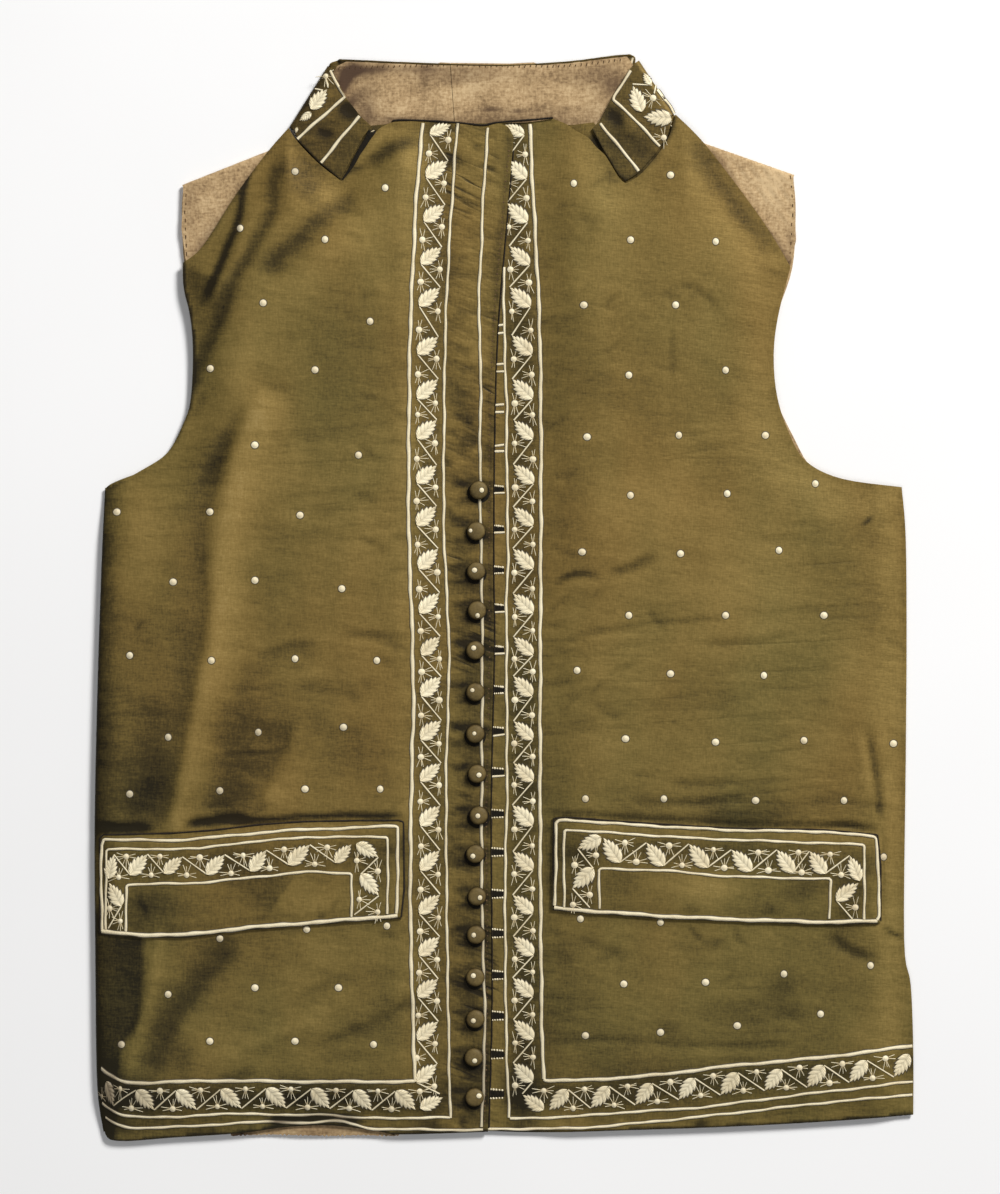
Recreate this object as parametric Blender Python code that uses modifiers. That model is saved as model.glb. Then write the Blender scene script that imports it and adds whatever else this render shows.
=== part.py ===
"""Man's embroidered silk waistcoat of about 1800, laid flat with its front upwards.

Metres, +Z up.  +Y runs from the hem to the collar and +X is the wearer's left.
The origin is at the middle of the waistcoat, on the surface that it lies on.
Tables are in millimetres: "across" is measured from the middle of the width and
"up" from the hem line.  Right and left are the wearer's.
"""

import math
from collections import namedtuple

import bmesh
import bpy
from mathutils import Vector
from mathutils.bvhtree import BVHTree
from mathutils.geometry import intersect_point_line

MM = 0.001

# Driving dimensions, in millimetres.
HEM_TO_MIDDLE = 320.85
SILK_WALL = 1.2
LINEN_WALL = 1.2
COLLAR_LINING_WALL = 1.0
HEM_LINING_WALL = 1.0
WELT_WALL = 1.0
GAP = 0.3
GRID = 14.0
SMOOTH_STEPS = 2
FOLD_STEPS = 5
# Whatever lies further out than this is on the right front's side edge.
SIDE_LIMIT = -234.0

BUTTON_DIAMETER = 11.0
BUTTON_HEIGHT = 4.2
BUTTON_SIDES = 16

# Heights of the middles of the walls above the surface that the waistcoat lies on.
BACK_LEVEL = LINEN_WALL / 2
UNDERLAP_LEVEL = LINEN_WALL + GAP + SILK_WALL / 2
FRONT_LEVEL = UNDERLAP_LEVEL + SILK_WALL + GAP
NECK_RAISE = 1.5
COLLAR_END_LEVEL = FRONT_LEVEL + NECK_RAISE
COLLAR_LINING_LEVEL = SILK_WALL + GAP + COLLAR_LINING_WALL / 2
HEM_LINING_LEVEL = LINEN_WALL + GAP + HEM_LINING_WALL / 2
SHOULDER_BEND = 1.2
SIDE_BEND = (FRONT_LEVEL - BACK_LEVEL) / 2
COLLAR_BEND = (COLLAR_END_LEVEL - BACK_LEVEL) / 2

# The right front: the runs of its edge in order, each a smooth curve of (across, up).
RIGHT_FRONT_RUNS = (
    # side, from the hem to the underarm
    ((-238.5, 0), (-242, 28), (-243, 95), (-243.5, 181), (-242, 259), (-240, 323), (-237.5, 386.5)),
    # armhole, from the underarm to the shoulder
    ((-237.5, 386.5), (-217.5, 397), (-202, 407.5), (-193, 423.5), (-188, 439), (-186.5, 467),
     (-188, 488.5), (-192, 506.5), (-192.5, 521.5)),
    # shoulder, from the armhole to the neck
    ((-192.5, 521.5), (-180.5, 531.5), (-160.5, 562.5), (-142, 587.5), (-129, 602.5)),
    # seam with the end of the collar
    ((-129, 602.5), (-124, 594.5), (-111.5, 581.5), (-97.5, 570.5)),
    # turned edge that faces the end of the collar
    ((-97.5, 570.5), (-90, 582.5), (-82, 594.5), (-74, 602.5)),
    # neck, to the front edge
    ((-74, 602.5), (-62, 606.5), (-29, 605), (-13, 603), (-4, 605), (2.5, 603), (6, 596.5)),
    # front edge, from the neck to the hem
    ((6, 596.5), (1, 540.5), (-4, 480.5), (-6, 416), (-6.5, 340), (-6, 291), (-8, 194),
     (-7.5, 79), (-9.5, 0)),
    # hem, which rides up over the lining in one place
    ((-9.5, 0), (-38, -1), (-65, -2.5), (-77, 3.5), (-104, 6.5), (-131, 5.5), (-158, -0.5),
     (-199, -3.5), (-230, -5.5), (-238.5, 0)),
)

# The left front, whose front edge lies under the right front.
LEFT_FRONT_RUNS = (
    # front edge, from the hem to the neck
    ((-24, 1), (-25, 139), (-25, 379), (-27.5, 499), (-29, 605)),
    # neck
    ((-29, 605), (-4, 605.5), (14.5, 606), (29.5, 608)),
    # turned edge that faces the end of the collar
    ((29.5, 608), (34, 602), (49, 590.5), (59.5, 580), (68.5, 569.5)),
    # seam with the end of the collar
    ((68.5, 569.5), (73, 569.5), (82, 574.5), (92, 586), (99, 597), (103, 610.5)),
    # shoulder, from the neck to the armhole
    ((103, 610.5), (119.5, 594), (142, 565), (159, 541), (172, 519)),
    # armhole, from the shoulder to the underarm
    ((172, 519), (164.5, 489), (162, 466), (164, 442), (171, 420), (181.5, 402.5), (203, 392),
     (239, 387)),
    # side, from the underarm to the hem
    ((239, 387), (241.5, 356), (242, 295), (241.5, 223), (240.5, 116), (244.5, 88), (246, 49),
     (246, 10)),
    # hem
    ((246, 10), (191.5, 6), (134, 3), (76.5, 1), (19.5, -0.5), (-24, 1)),
)

# The back, up to the folds over which its shoulders come forward.
BACK_RUNS = (
    # hem
    ((-231, 3.5), (-2, 3.5), (242.5, 14.5)),
    # left side
    ((242.5, 14.5), (242, 79), (238.5, 116), (239.5, 223), (240, 295), (239, 356), (237, 385)),
    # left armhole
    ((237, 385), (203, 390.5), (185, 399), (175, 417), (165, 442), (163.5, 463), (166.5, 489),
     (173.5, 519), (175.5, 553), (174, 573)),
    # left shoulder fold
    ((174, 573), (120, 592)),
    # neck
    ((120, 592), (102.5, 601.5), (94, 601.5), (-13, 602), (-127, 600), (-142, 587)),
    # right shoulder fold
    ((-142, 587), (-192.5, 567)),
    # right armhole
    ((-192.5, 567), (-193.5, 553), (-192, 521), (-186, 488.5), (-184.5, 467), (-186, 439),
     (-191, 422.5), (-200, 405.5), (-216, 395.5), (-231, 387.5)),
    # right side, beside the part of the right front that turns under
    ((-231, 387.5), (-231, 3.5)),
)

# What comes forward over each shoulder, from the neck end of its fold to the armhole end.
RIGHT_SHOULDER_FOLD = ((-142, 587), (-192.5, 567))
RIGHT_SHOULDER_FLAP = ((-156.5, 559), (-167, 542), (-177.5, 527), (-190, 516), (-193.5, 542))
LEFT_SHOULDER_FOLD = ((120, 592), (174, 573))
LEFT_SHOULDER_FLAP = ((137.5, 561.5), (155, 537.5), (170.5, 513), (175.5, 535))

# The collar: its back part, and the two ends that fold forward over it.
COLLAR_RIGHT_FOLD = ((-126.5, 601.5), (-102, 640.5))
COLLAR_LEFT_FOLD = ((79, 641.5), (100, 609.5))
COLLAR_TOP = ((-95, 644), (-62, 642.5), (-32, 641.5), (4, 641), (40, 643), (75, 647))
COLLAR_NECK = ((94, 603.5), (-14, 603.5))
COLLAR_RIGHT_END = ((-95, 621), (-85.5, 609), (-79.5, 603.5), (-85, 596), (-98, 571.5),
                    (-111, 582), (-123.5, 595))
COLLAR_LEFT_END = ((101, 607), (98, 597.5), (91, 587), (81, 575.5), (73, 570.5), (68.5, 575),
                   (60, 589), (53, 602), (58, 606.5), (65.5, 620), (76, 637))

# The linen inside the collar, in two lengths that meet at a seam.
COLLAR_LINING_SEAM = ((-32.2, 639.5), (-29.5, 604.5))
COLLAR_LINING_RIGHT = ((-123, 603.5), (-100, 640), (-94.5, 642), (-62, 640.7))
COLLAR_LINING_LEFT = ((4, 639), (40, 641), (74, 645), (77, 641), (97, 609.5), (92, 604.8))

# The strip of the right front's lining that shows below its hem.
HEM_LINING = ((-163, 12), (-65, 12), (-61, -2), (-65, -2.5), (-104, -2.5), (-164, -1.5))

RIGHT_WELT = ((-242, 179), (-199, 178), (-162.5, 180.5), (-133, 183.5), (-61.5, 186),
              (-62, 129), (-107, 125), (-153.5, 121.5), (-190, 117), (-217.5, 117), (-242, 119))
LEFT_WELT = ((29.5, 188.5), (37.5, 189.5), (76.5, 186.5), (134, 183), (191.5, 182), (224.5, 179),
             (226.5, 160), (226.5, 126.5), (224, 125), (191.5, 124.5), (134, 126.5), (95.5, 128),
             (28.5, 133))

# One button a row, from the top.
Button = namedtuple("Button", "across up")
BUTTONS = tuple(Button(*row) for row in (
    (-15, 385), (-16.5, 360.5), (-16.5, 336.5), (-16, 313), (-17, 289), (-17, 264), (-17, 239),
    (-16, 215), (-15, 190), (-17, 167), (-16, 141.5), (-16.5, 118.5), (-17, 93), (-17, 68),
    (-18, 45), (-17.5, 21)))
# The turned outline of a button: radius and height as parts of the whole.
BUTTON_PROFILE = ((0.0, 1.0), (0.42, 0.95), (0.76, 0.76), (0.96, 0.50), (1.0, 0.33),
                  (0.90, 0.08), (0.76, 0.0), (0.0, 0.0))

# The largest folds, each a soft ridge (or trough, where rise is negative) along a line.
Fold = namedtuple("Fold", "across_1 up_1 across_2 up_2 half_width rise")
RIGHT_FRONT_FOLDS = tuple(Fold(*row) for row in (
    (-122, 580, -172, 490, 9, 2.2),
    (-146, 570, -185, 500, 7, 1.8),
    (-44, 562, -148, 478, 15, 2.6),
    (-166, 430, -178, 262, 17, 3.2),
    (-180, 262, -196, 186, 15, 3.4),
    (-206, 116, -220, 40, 11, 2.6),
    (-56, 112, -150, 44, 16, 1.8),
    (-110, 318, -146, 206, 20, 1.4),
))
LEFT_FRONT_FOLDS = tuple(Fold(*row) for row in (
    (126, 580, 168, 516, 8, 1.8),
    (96, 560, 150, 470, 18, 1.6),
    (118, 480, 130, 396, 24, 1.4),
    (66, 268, 222, 306, 18, 1.6),
    (44, 214, 206, 236, 14, 1.4),
    (60, 96, 214, 104, 20, 1.4),
))

# How far each front swells between its edges, and over what distance from them.
RIGHT_SWELL, LEFT_SWELL, SWELL_REACH = 4.5, 2.2, 19.0
# Where the fronts rise towards the collar, measured up from the hem line.
NECK_RISE = (420, 508)
# Where each front lies calm beside the buttons and grows loose, from the middle outwards.
RIGHT_LOOSENS = (-32, -66)
LEFT_LOOSENS = (22, 60)
# Where the left front steps up from its underlap, and down again to its side seam.
LEFT_STEP_UP = (16, 44)
LEFT_STEP_DOWN = (222, 241)

# The paints that stand for the cloths: colour, roughness.
PAINTS = {
    "silk": ((0.155, 0.115, 0.028), 0.42),
    "button_silk": ((0.105, 0.078, 0.024), 0.40),
    "linen": ((0.50, 0.34, 0.18), 0.90),
}


def clear_scene():
    for item in list(bpy.data.objects):
        bpy.data.objects.remove(item, do_unlink=True)


def new_collection(name):
    collection = bpy.data.collections.new(name)
    bpy.context.scene.collection.children.link(collection)
    return collection


def paint(name):
    """The material of one cloth, made the first time that it is asked for."""
    material = bpy.data.materials.get(name)
    if material is None:
        colour, roughness = PAINTS[name]
        material = bpy.data.materials.new(name)
        material.use_nodes = True
        shader = material.node_tree.nodes["Principled BSDF"]
        shader.inputs["Base Color"].default_value = (*colour, 1.0)
        shader.inputs["Roughness"].default_value = roughness
        shader.inputs["Metallic"].default_value = 0.0
    return material


def place(across, up, level=0.0):
    """A point of the tables, in the model's own frame."""
    return Vector((across * MM, (up - HEM_TO_MIDDLE) * MM, level * MM))


def ramp(value, start, end):
    """0 on start's side and 1 on end's side, with a smooth rise between."""
    part = min(max((value - start) / (end - start), 0.0), 1.0)
    return part * part * (3 - 2 * part)


def curve_through(points, steps):
    """Points along a smooth curve through the given ones, ends included."""
    padded = [points[0], *points, points[-1]]
    curve = []
    for before, start, end, after in zip(padded, padded[1:], padded[2:], padded[3:]):
        for step in range(steps):
            t = step / steps
            curve.append(tuple(
                0.5 * (2 * b + (c - a) * t + (2 * a - 5 * b + 4 * c - d) * t * t
                       + (3 * b - a - 3 * c + d) * t ** 3)
                for a, b, c, d in zip(before, start, end, after)))
    curve.append(points[-1])
    return curve


def outline_of(runs):
    """One closed outline from runs that follow each other round a pattern piece."""
    outline = []
    for run in runs:
        steps = SMOOTH_STEPS if len(run) > 2 else 1
        outline += curve_through(run, steps)[:-1]
    return outline


def flat_piece(outline, level=0.0):
    """A mesh of one flat face, facing up."""
    mesh = bmesh.new()
    mesh.faces.new([mesh.verts.new(place(across, up, level)) for across, up in outline])
    face_up(mesh)
    return mesh


def face_up(mesh):
    mesh.normal_update()
    bmesh.ops.reverse_faces(mesh, faces=[face for face in mesh.faces if face.normal.z < 0])


def grid_piece(outline):
    """A flat pattern piece, cut along a square grid so that it can be draped."""
    mesh = flat_piece(outline)
    for axis, shift in ((0, 0.0), (1, HEM_TO_MIDDLE)):
        places = [vertex.co[axis] / MM + shift for vertex in mesh.verts]
        for line in range(math.ceil(min(places) / GRID), math.floor(max(places) / GRID) + 1):
            cut, direction = Vector(), Vector()
            cut[axis] = (line * GRID - shift) * MM
            direction[axis] = 1.0
            bmesh.ops.bisect_plane(mesh, geom=mesh.verts[:] + mesh.edges[:] + mesh.faces[:],
                                   plane_co=cut, plane_no=direction, dist=GAP * MM)
    return mesh


def edge_distance(point, outline):
    """How far a point of the tables lies from the nearest edge of an outline."""
    spot = Vector((*point, 0.0))
    nearest = math.inf
    for start, end in zip(outline, outline[1:] + outline[:1]):
        start, end = Vector((*start, 0.0)), Vector((*end, 0.0))
        foot, part = intersect_point_line(spot, start, end)
        foot = start if part < 0 else end if part > 1 else foot
        nearest = min(nearest, (spot - foot).length)
    return nearest


def fold_height(point, folds):
    """The sum of the folds at a point: bell-shaped across each, dying away past its ends."""
    total = 0.0
    spot = Vector((*point, 0.0))
    for fold in folds:
        start = Vector((fold.across_1, fold.up_1, 0.0))
        end = Vector((fold.across_2, fold.up_2, 0.0))
        foot, part = intersect_point_line(spot, start, end)
        foot = start if part < 0 else end if part > 1 else foot
        total += fold.rise * math.exp(-((spot - foot).length / fold.half_width) ** 2)
    return total


def inside_edges(across, up, outline):
    """0 at a pattern piece's edge, growing to 1 well inside it."""
    return 1 - math.exp(-(edge_distance((across, up), outline) / SWELL_REACH) ** 2)


def right_front_level(across, up, outline):
    """Height of the middle of the right front's wall."""
    loose = RIGHT_SWELL + fold_height((across, up), RIGHT_FRONT_FOLDS)
    freedom = ramp(across, *RIGHT_LOOSENS) * inside_edges(across, up, outline)
    return FRONT_LEVEL + NECK_RAISE * ramp(up, *NECK_RISE) + freedom * loose


def left_front_level(across, up, outline):
    """Height of the middle of the left front's wall, which is sewn down on the back at its side."""
    loose = LEFT_SWELL + fold_height((across, up), LEFT_FRONT_FOLDS)
    freedom = ramp(across, *LEFT_LOOSENS) * inside_edges(across, up, outline)
    step = (FRONT_LEVEL - UNDERLAP_LEVEL) * min(ramp(across, *LEFT_STEP_UP),
                                                1 - ramp(across, *LEFT_STEP_DOWN))
    return UNDERLAP_LEVEL + step + NECK_RAISE * ramp(up, *NECK_RISE) + freedom * loose


def drape(mesh, level_at, outline):
    for vertex in mesh.verts:
        across = vertex.co.x / MM
        up = vertex.co.y / MM + HEM_TO_MIDDLE
        vertex.co.z = level_at(across, up, outline) * MM


def add_cloth(name, mesh, wall, material, parts):
    """Give an open surface its wall and add it as a piece of the waistcoat."""
    mesh.normal_update()
    data = bpy.data.meshes.new(name)
    mesh.to_mesh(data)
    mesh.free()
    data.materials.append(paint(material))
    piece = bpy.data.objects.new(name, data)
    parts.objects.link(piece)
    solidify = piece.modifiers.new("wall", "SOLIDIFY")
    solidify.thickness = wall * MM
    solidify.offset = 0.0
    triangulate = piece.modifiers.new("triangles", "TRIANGULATE")
    triangulate.quad_method = "FIXED"
    return piece


def fold_edge_over(mesh, fold, bend, flap):
    """Bend the cloth at an edge through half a turn, up and back over itself, and add the flap.

    The edge is the fold's line, and the flap's points run from the first end of the fold
    round to the second.
    """
    ends = [place(*end, BACK_LEVEL) for end in fold]
    edge = next(edge for edge in mesh.edges
                if all(min((vertex.co - end).length for end in ends) < GAP * MM
                       for vertex in edge.verts))
    along = (ends[1] - ends[0]).normalized()
    outward = Vector((along.y, -along.x, 0.0))
    if outward.dot(edge.link_faces[0].calc_center_median() - ends[0]) > 0:
        outward.negate()
    axis = Vector((0.0, 0.0, 1.0)).cross(outward)
    centre = ends[0] + Vector((0.0, 0.0, bend * MM))
    turned = bmesh.ops.spin(mesh, geom=[*edge.verts, edge], cent=centre, axis=axis, angle=-math.pi,
                            steps=FOLD_STEPS, use_duplicate=False)["geom_last"]
    top = [item for item in turned if isinstance(item, bmesh.types.BMVert)]
    top.sort(key=lambda vertex: (vertex.co.xy - ends[0].xy).length)
    level = BACK_LEVEL + 2 * bend
    corners = [mesh.verts.new(place(*point, level)) for point in flap]
    mesh.faces.new([top[0], *corners, top[1]])


def turn_side_under(mesh, inner_edge):
    """Carry the right front's side edge round a half turn and flat along the surface."""
    side = [edge for edge in mesh.edges
            if edge.is_boundary
            and all(vertex.co.x < SIDE_LIMIT * MM for vertex in edge.verts)
            and abs(edge.verts[0].co.y - edge.verts[1].co.y)
            > abs(edge.verts[0].co.x - edge.verts[1].co.x)]
    start = {}
    for step in range(1, FOLD_STEPS + 2):
        grown = bmesh.ops.extrude_edge_only(mesh, edges=side)["geom"]
        side = [item for item in grown if isinstance(item, bmesh.types.BMEdge)]
        for vertex in [item for item in grown if isinstance(item, bmesh.types.BMVert)]:
            if step == 1:
                start[round(vertex.co.y, 6)] = vertex.co.x
            line = start[round(vertex.co.y, 6)]
            if step <= FOLD_STEPS:
                turn = math.pi * step / FOLD_STEPS
                vertex.co.x = line - SIDE_BEND * MM * math.sin(turn)
                vertex.co.z = (BACK_LEVEL + SIDE_BEND * (1 + math.cos(turn))) * MM
            else:
                vertex.co.x = inner_edge * MM


def add_fronts(parts):
    """The two silk fronts; the right one laps over the left and turns under at its side."""
    outline = outline_of(LEFT_FRONT_RUNS)
    mesh = grid_piece(outline)
    drape(mesh, left_front_level, outline)
    left = add_cloth("left_front", mesh, SILK_WALL, "silk", parts)

    outline = outline_of(RIGHT_FRONT_RUNS)
    mesh = grid_piece(outline)
    drape(mesh, right_front_level, outline)
    back_edge = BACK_RUNS[0][0][0]
    turn_side_under(mesh, back_edge - 2 * GAP)
    bmesh.ops.recalc_face_normals(mesh, faces=mesh.faces)
    right = add_cloth("right_front", mesh, SILK_WALL, "silk", parts)
    return right, left


def add_back(parts):
    """The linen back, flat below, whose shoulders come forward over their folds."""
    mesh = flat_piece(outline_of(BACK_RUNS), BACK_LEVEL)
    fold_edge_over(mesh, RIGHT_SHOULDER_FOLD, SHOULDER_BEND, RIGHT_SHOULDER_FLAP)
    fold_edge_over(mesh, LEFT_SHOULDER_FOLD, SHOULDER_BEND, LEFT_SHOULDER_FLAP)
    bmesh.ops.recalc_face_normals(mesh, faces=mesh.faces)
    add_cloth("back", mesh, LINEN_WALL, "linen", parts)


def add_collar(parts):
    """The standing collar, pressed flat: a silk strip and the linen inside its back part."""
    outline = [*COLLAR_RIGHT_FOLD, *curve_through(COLLAR_TOP, SMOOTH_STEPS), *COLLAR_LEFT_FOLD,
               *COLLAR_NECK]
    mesh = flat_piece(outline, BACK_LEVEL)
    fold_edge_over(mesh, COLLAR_RIGHT_FOLD, COLLAR_BEND, COLLAR_RIGHT_END[::-1])
    fold_edge_over(mesh, COLLAR_LEFT_FOLD, COLLAR_BEND, COLLAR_LEFT_END[::-1])
    bmesh.ops.recalc_face_normals(mesh, faces=mesh.faces)
    add_cloth("collar", mesh, SILK_WALL, "silk", parts)

    for side, outline, shift in (("right", COLLAR_LINING_RIGHT, -GAP / 2),
                                 ("left", COLLAR_LINING_LEFT, GAP / 2)):
        seam = [(across + shift, up) for across, up in COLLAR_LINING_SEAM]
        ends = seam if side == "right" else seam[::-1]
        mesh = flat_piece([*outline, *ends], COLLAR_LINING_LEVEL)
        add_cloth("collar_lining_" + side, mesh, COLLAR_LINING_WALL, "linen", parts)


def add_hem_lining(parts):
    """The lining of the right front, where it shows below the hem."""
    mesh = flat_piece(HEM_LINING, HEM_LINING_LEVEL)
    add_cloth("right_front_lining", mesh, HEM_LINING_WALL, "linen", parts)


def surface_of(piece):
    """The finished surface of a piece, to lay things on."""
    return BVHTree.FromObject(piece, bpy.context.evaluated_depsgraph_get())


def height_on(surface, point):
    """The height of the upper face of a piece at a point."""
    above = Vector((point.x, point.y, 1.0))
    return surface.ray_cast(above, Vector((0.0, 0.0, -1.0)))[0].z


def add_welt(name, outline, front, parts):
    """A pocket welt, made from the points of the front that it is sewn on, moved out."""
    surface = surface_of(front)
    mesh = grid_piece(outline)
    for vertex in mesh.verts:
        vertex.co.z = height_on(surface, vertex.co) + (2 * GAP + WELT_WALL / 2) * MM
    add_cloth(name, mesh, WELT_WALL, "silk", parts)


def add_buttons(front, parts):
    """Sixteen silk-covered buttons down the right front, each turned from one outline."""
    surface = surface_of(front)
    rim = BUTTON_DIAMETER / 2
    for number, button in enumerate(BUTTONS, 1):
        name = f"button_{number:02d}"
        mesh = bmesh.new()
        profile = [mesh.verts.new((radius * rim * MM, 0.0, height * BUTTON_HEIGHT * MM))
                   for radius, height in BUTTON_PROFILE]
        for upper, lower in zip(profile, profile[1:]):
            mesh.edges.new((upper, lower))
        data = bpy.data.meshes.new(name)
        mesh.to_mesh(data)
        mesh.free()
        data.materials.append(paint("button_silk"))
        piece = bpy.data.objects.new(name, data)
        centre = place(button.across, button.up)
        around = [centre] + [centre + Vector((math.cos(turn), math.sin(turn), 0.0)) * rim * MM
                             for turn in (math.tau * step / BUTTON_SIDES
                                          for step in range(BUTTON_SIDES))]
        centre.z = max(height_on(surface, spot) for spot in around) + GAP * MM
        piece.location = centre
        parts.objects.link(piece)
        screw = piece.modifiers.new("turn", "SCREW")
        screw.steps = screw.render_steps = BUTTON_SIDES
        screw.use_merge_vertices = True
        screw.merge_threshold = 0.00001
        screw.use_smooth_shade = True


def main():
    clear_scene()
    parts = new_collection("embroidered_waistcoat")
    add_back(parts)
    right_front, left_front = add_fronts(parts)
    add_collar(parts)
    add_hem_lining(parts)
    bpy.context.view_layer.update()
    add_welt("right_pocket_welt", RIGHT_WELT, right_front, parts)
    add_welt("left_pocket_welt", LEFT_WELT, left_front, parts)
    add_buttons(right_front, parts)


main()
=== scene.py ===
import math
import random

import bmesh
import bpy
import numpy as np
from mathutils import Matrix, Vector
from mathutils.bvhtree import BVHTree


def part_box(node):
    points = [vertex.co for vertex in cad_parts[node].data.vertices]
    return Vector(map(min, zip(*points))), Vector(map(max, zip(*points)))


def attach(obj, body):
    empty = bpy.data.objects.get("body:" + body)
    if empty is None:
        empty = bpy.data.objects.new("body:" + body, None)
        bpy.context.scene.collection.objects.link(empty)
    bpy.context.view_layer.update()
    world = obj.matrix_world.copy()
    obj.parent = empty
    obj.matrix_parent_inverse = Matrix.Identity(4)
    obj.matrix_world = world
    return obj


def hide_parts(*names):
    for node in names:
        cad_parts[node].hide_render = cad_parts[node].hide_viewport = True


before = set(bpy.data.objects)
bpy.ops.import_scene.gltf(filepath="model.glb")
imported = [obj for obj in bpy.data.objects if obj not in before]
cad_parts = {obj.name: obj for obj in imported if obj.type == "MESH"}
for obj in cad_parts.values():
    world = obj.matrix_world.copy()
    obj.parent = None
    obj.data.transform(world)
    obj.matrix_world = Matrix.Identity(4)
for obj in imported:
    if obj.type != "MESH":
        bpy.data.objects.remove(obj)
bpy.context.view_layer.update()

# ----------------------------------------
# The back: beige linen laid flat under everything.  It is cut long at the
# shoulders, so that it comes forward over two folds to meet the silk, and it
# is felled down there by hand.  Sizes are in millimetres: "across" from the
# middle towards the wearer's left, "up" from the hem line, "level" from below.

MM = 0.001
HEM_TO_MIDDLE = 320.85
MIDDLE = np.array((0.0, 320.0))

LINEN_WALL = 1.2
BACK_LEVEL = 0.6
SHOULDER_BEND = 1.2
PUCKER = 0.22
# Above this level the linen is folded forward over the shoulders, and only there does it carry its
# stains and painted shade.
STAINS_AND_SHADE_ABOVE = 1.6
# The back lies flat under the fronts' edges and along its own.
FLAT_MIDDLE = (46, 66)
FLAT_EDGE = (2, 30)

BACK_RUNS = (
    ((-231, 3.5), (-2, 3.5), (242.5, 14.5)),
    ((242.5, 14.5), (242, 79), (238.5, 116), (239.5, 223), (240, 295), (239, 356), (237, 385)),
    ((237, 385), (203, 390.5), (185, 399), (174, 417.5), (163, 442), (161.5, 464), (164, 489),
     (173.5, 519), (175.5, 553), (174, 573)),
    "left_shoulder",
    ((120, 592), (102.5, 601.5), (94, 601.5), (-13, 602), (-127, 600), (-142, 587)),
    "right_shoulder",
    ((-192.5, 567), (-193.5, 553), (-192, 521), (-186, 488.5), (-184.5, 467), (-186, 439),
     (-191, 422.5), (-200, 405.5), (-216, 395.5), (-231, 387.5)),
    ((-231, 387.5), (-231, 3.5)),
)
# Each fold of cloth: its two ends, how tightly it bends, and the edge of what comes over it.
LEFT_SHOULDER = ((174, 573), (120, 592), SHOULDER_BEND,
                 ((175.5, 535), (170.5, 513), (155, 537.5), (137.5, 561.5)))
RIGHT_SHOULDER = ((-142, 587), (-192.5, 567), SHOULDER_BEND,
                  ((-156.5, 559), (-167, 542), (-177.5, 527), (-190, 516), (-193.5, 542)))


def curve_through(points, steps=5):
    """Points along a smooth curve through the given ones, ends included."""
    padded = np.array([points[0], *points, points[-1]], float)
    curve = []
    for b, a, c, d in zip(padded, padded[1:], padded[2:], padded[3:]):
        for t in np.arange(steps) / steps:
            curve.append(0.5 * (2 * a + (c - b) * t + (2 * b - 5 * a + 4 * c - d) * t * t
                                + (3 * a - b - 3 * c + d) * t ** 3))
    return [*curve, padded[-1]]


def fold_frame(start, end):
    """The unit direction of a fold's line, and the one that leads out of the cloth."""
    along = np.subtract(end, start) / np.linalg.norm(np.subtract(end, start))
    outward = np.array((along[1], -along[0]))
    if outward @ (MIDDLE - start) > 0:
        outward = -outward
    return along, outward


def opened_out(fold):
    """The edge of what comes over a fold, as it was cut, before it was folded."""
    start, end, bend, flap = fold
    outward = fold_frame(start, end)[1]
    rim = [start + outward * math.pi * bend]
    for point in flap:
        depth = outward @ np.subtract(start, point)
        rim.append(point + outward * (2 * depth + math.pi * bend))
    return [np.array(start, float), *rim, end + outward * math.pi * bend]


def outline_of(runs, folds=None):
    """One closed outline from the runs that follow each other round a pattern piece."""
    outline = []
    for run in runs:
        if isinstance(run, str):
            outline += opened_out(folds[run])
        else:
            outline += curve_through(run, 5 if len(run) > 2 else 1)[:-1]
    return np.array(outline, float)


def nearest_on_edge(points, outline):
    """How far each point is from an outline, and the nearest place on it."""
    outline = np.asarray(outline, float)
    distance = np.full(len(points), np.inf)
    foot = np.array(points, float)
    for start, end in zip(outline, np.roll(outline, -1, axis=0)):
        line = end - start
        if line @ line < 1e-9:
            continue
        part = np.clip((points - start) @ line / (line @ line), 0, 1)
        spot = start + part[:, None] * line
        gap = np.linalg.norm(points - spot, axis=1)
        nearer = gap < distance
        distance[nearer] = gap[nearer]
        foot[nearer] = spot[nearer]
    return distance, foot


CORNER_TURN = 0.35


def cut_cloth(outline, across_stops, up_stops):
    """Small squares of cloth inside an outline, the outer ones drawn out to its edge."""
    outline = np.asarray(outline, float)
    across_lines, up_lines = even_lines(across_stops), even_lines(up_stops)
    middles = [(lines[1:] + lines[:-1]) / 2 for lines in (across_lines, up_lines)]
    across, up = np.meshgrid(*middles)
    inside = np.zeros(across.shape, bool)
    for (a1, u1), (a2, u2) in zip(outline, np.roll(outline, -1, axis=0)):
        if u1 != u2:
            beside = across < a1 + (up - u1) * (a2 - a1) / (u2 - u1)
            inside ^= ((u1 > up) != (u2 > up)) & beside
    rows, columns = inside.nonzero()
    width = len(across_lines)
    corner = rows * width + columns
    squares = np.stack([corner, corner + 1, corner + width + 1, corner + width], 1)
    used, faces = np.unique(squares, return_inverse=True)
    faces = faces.reshape(-1, 4)
    points = np.stack([across_lines[used % width], up_lines[used // width]], 1)
    rim = np.bincount(faces.ravel(), minlength=len(points)) < 4
    points[rim] = nearest_on_edge(points[rim], outline)[1]
    rim_places = rim.nonzero()[0]
    before = outline - np.roll(outline, 1, axis=0)
    after = np.roll(outline, -1, axis=0) - outline
    turn = np.abs(before[:, 0] * after[:, 1] - before[:, 1] * after[:, 0])
    turn /= np.linalg.norm(before, axis=1) * np.linalg.norm(after, axis=1) + 1e-9
    for corner in outline[turn > CORNER_TURN]:
        gaps = np.linalg.norm(points[rim_places] - corner, axis=1)
        points[rim_places[gaps.argmin()]] = corner
    return points, faces


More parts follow.
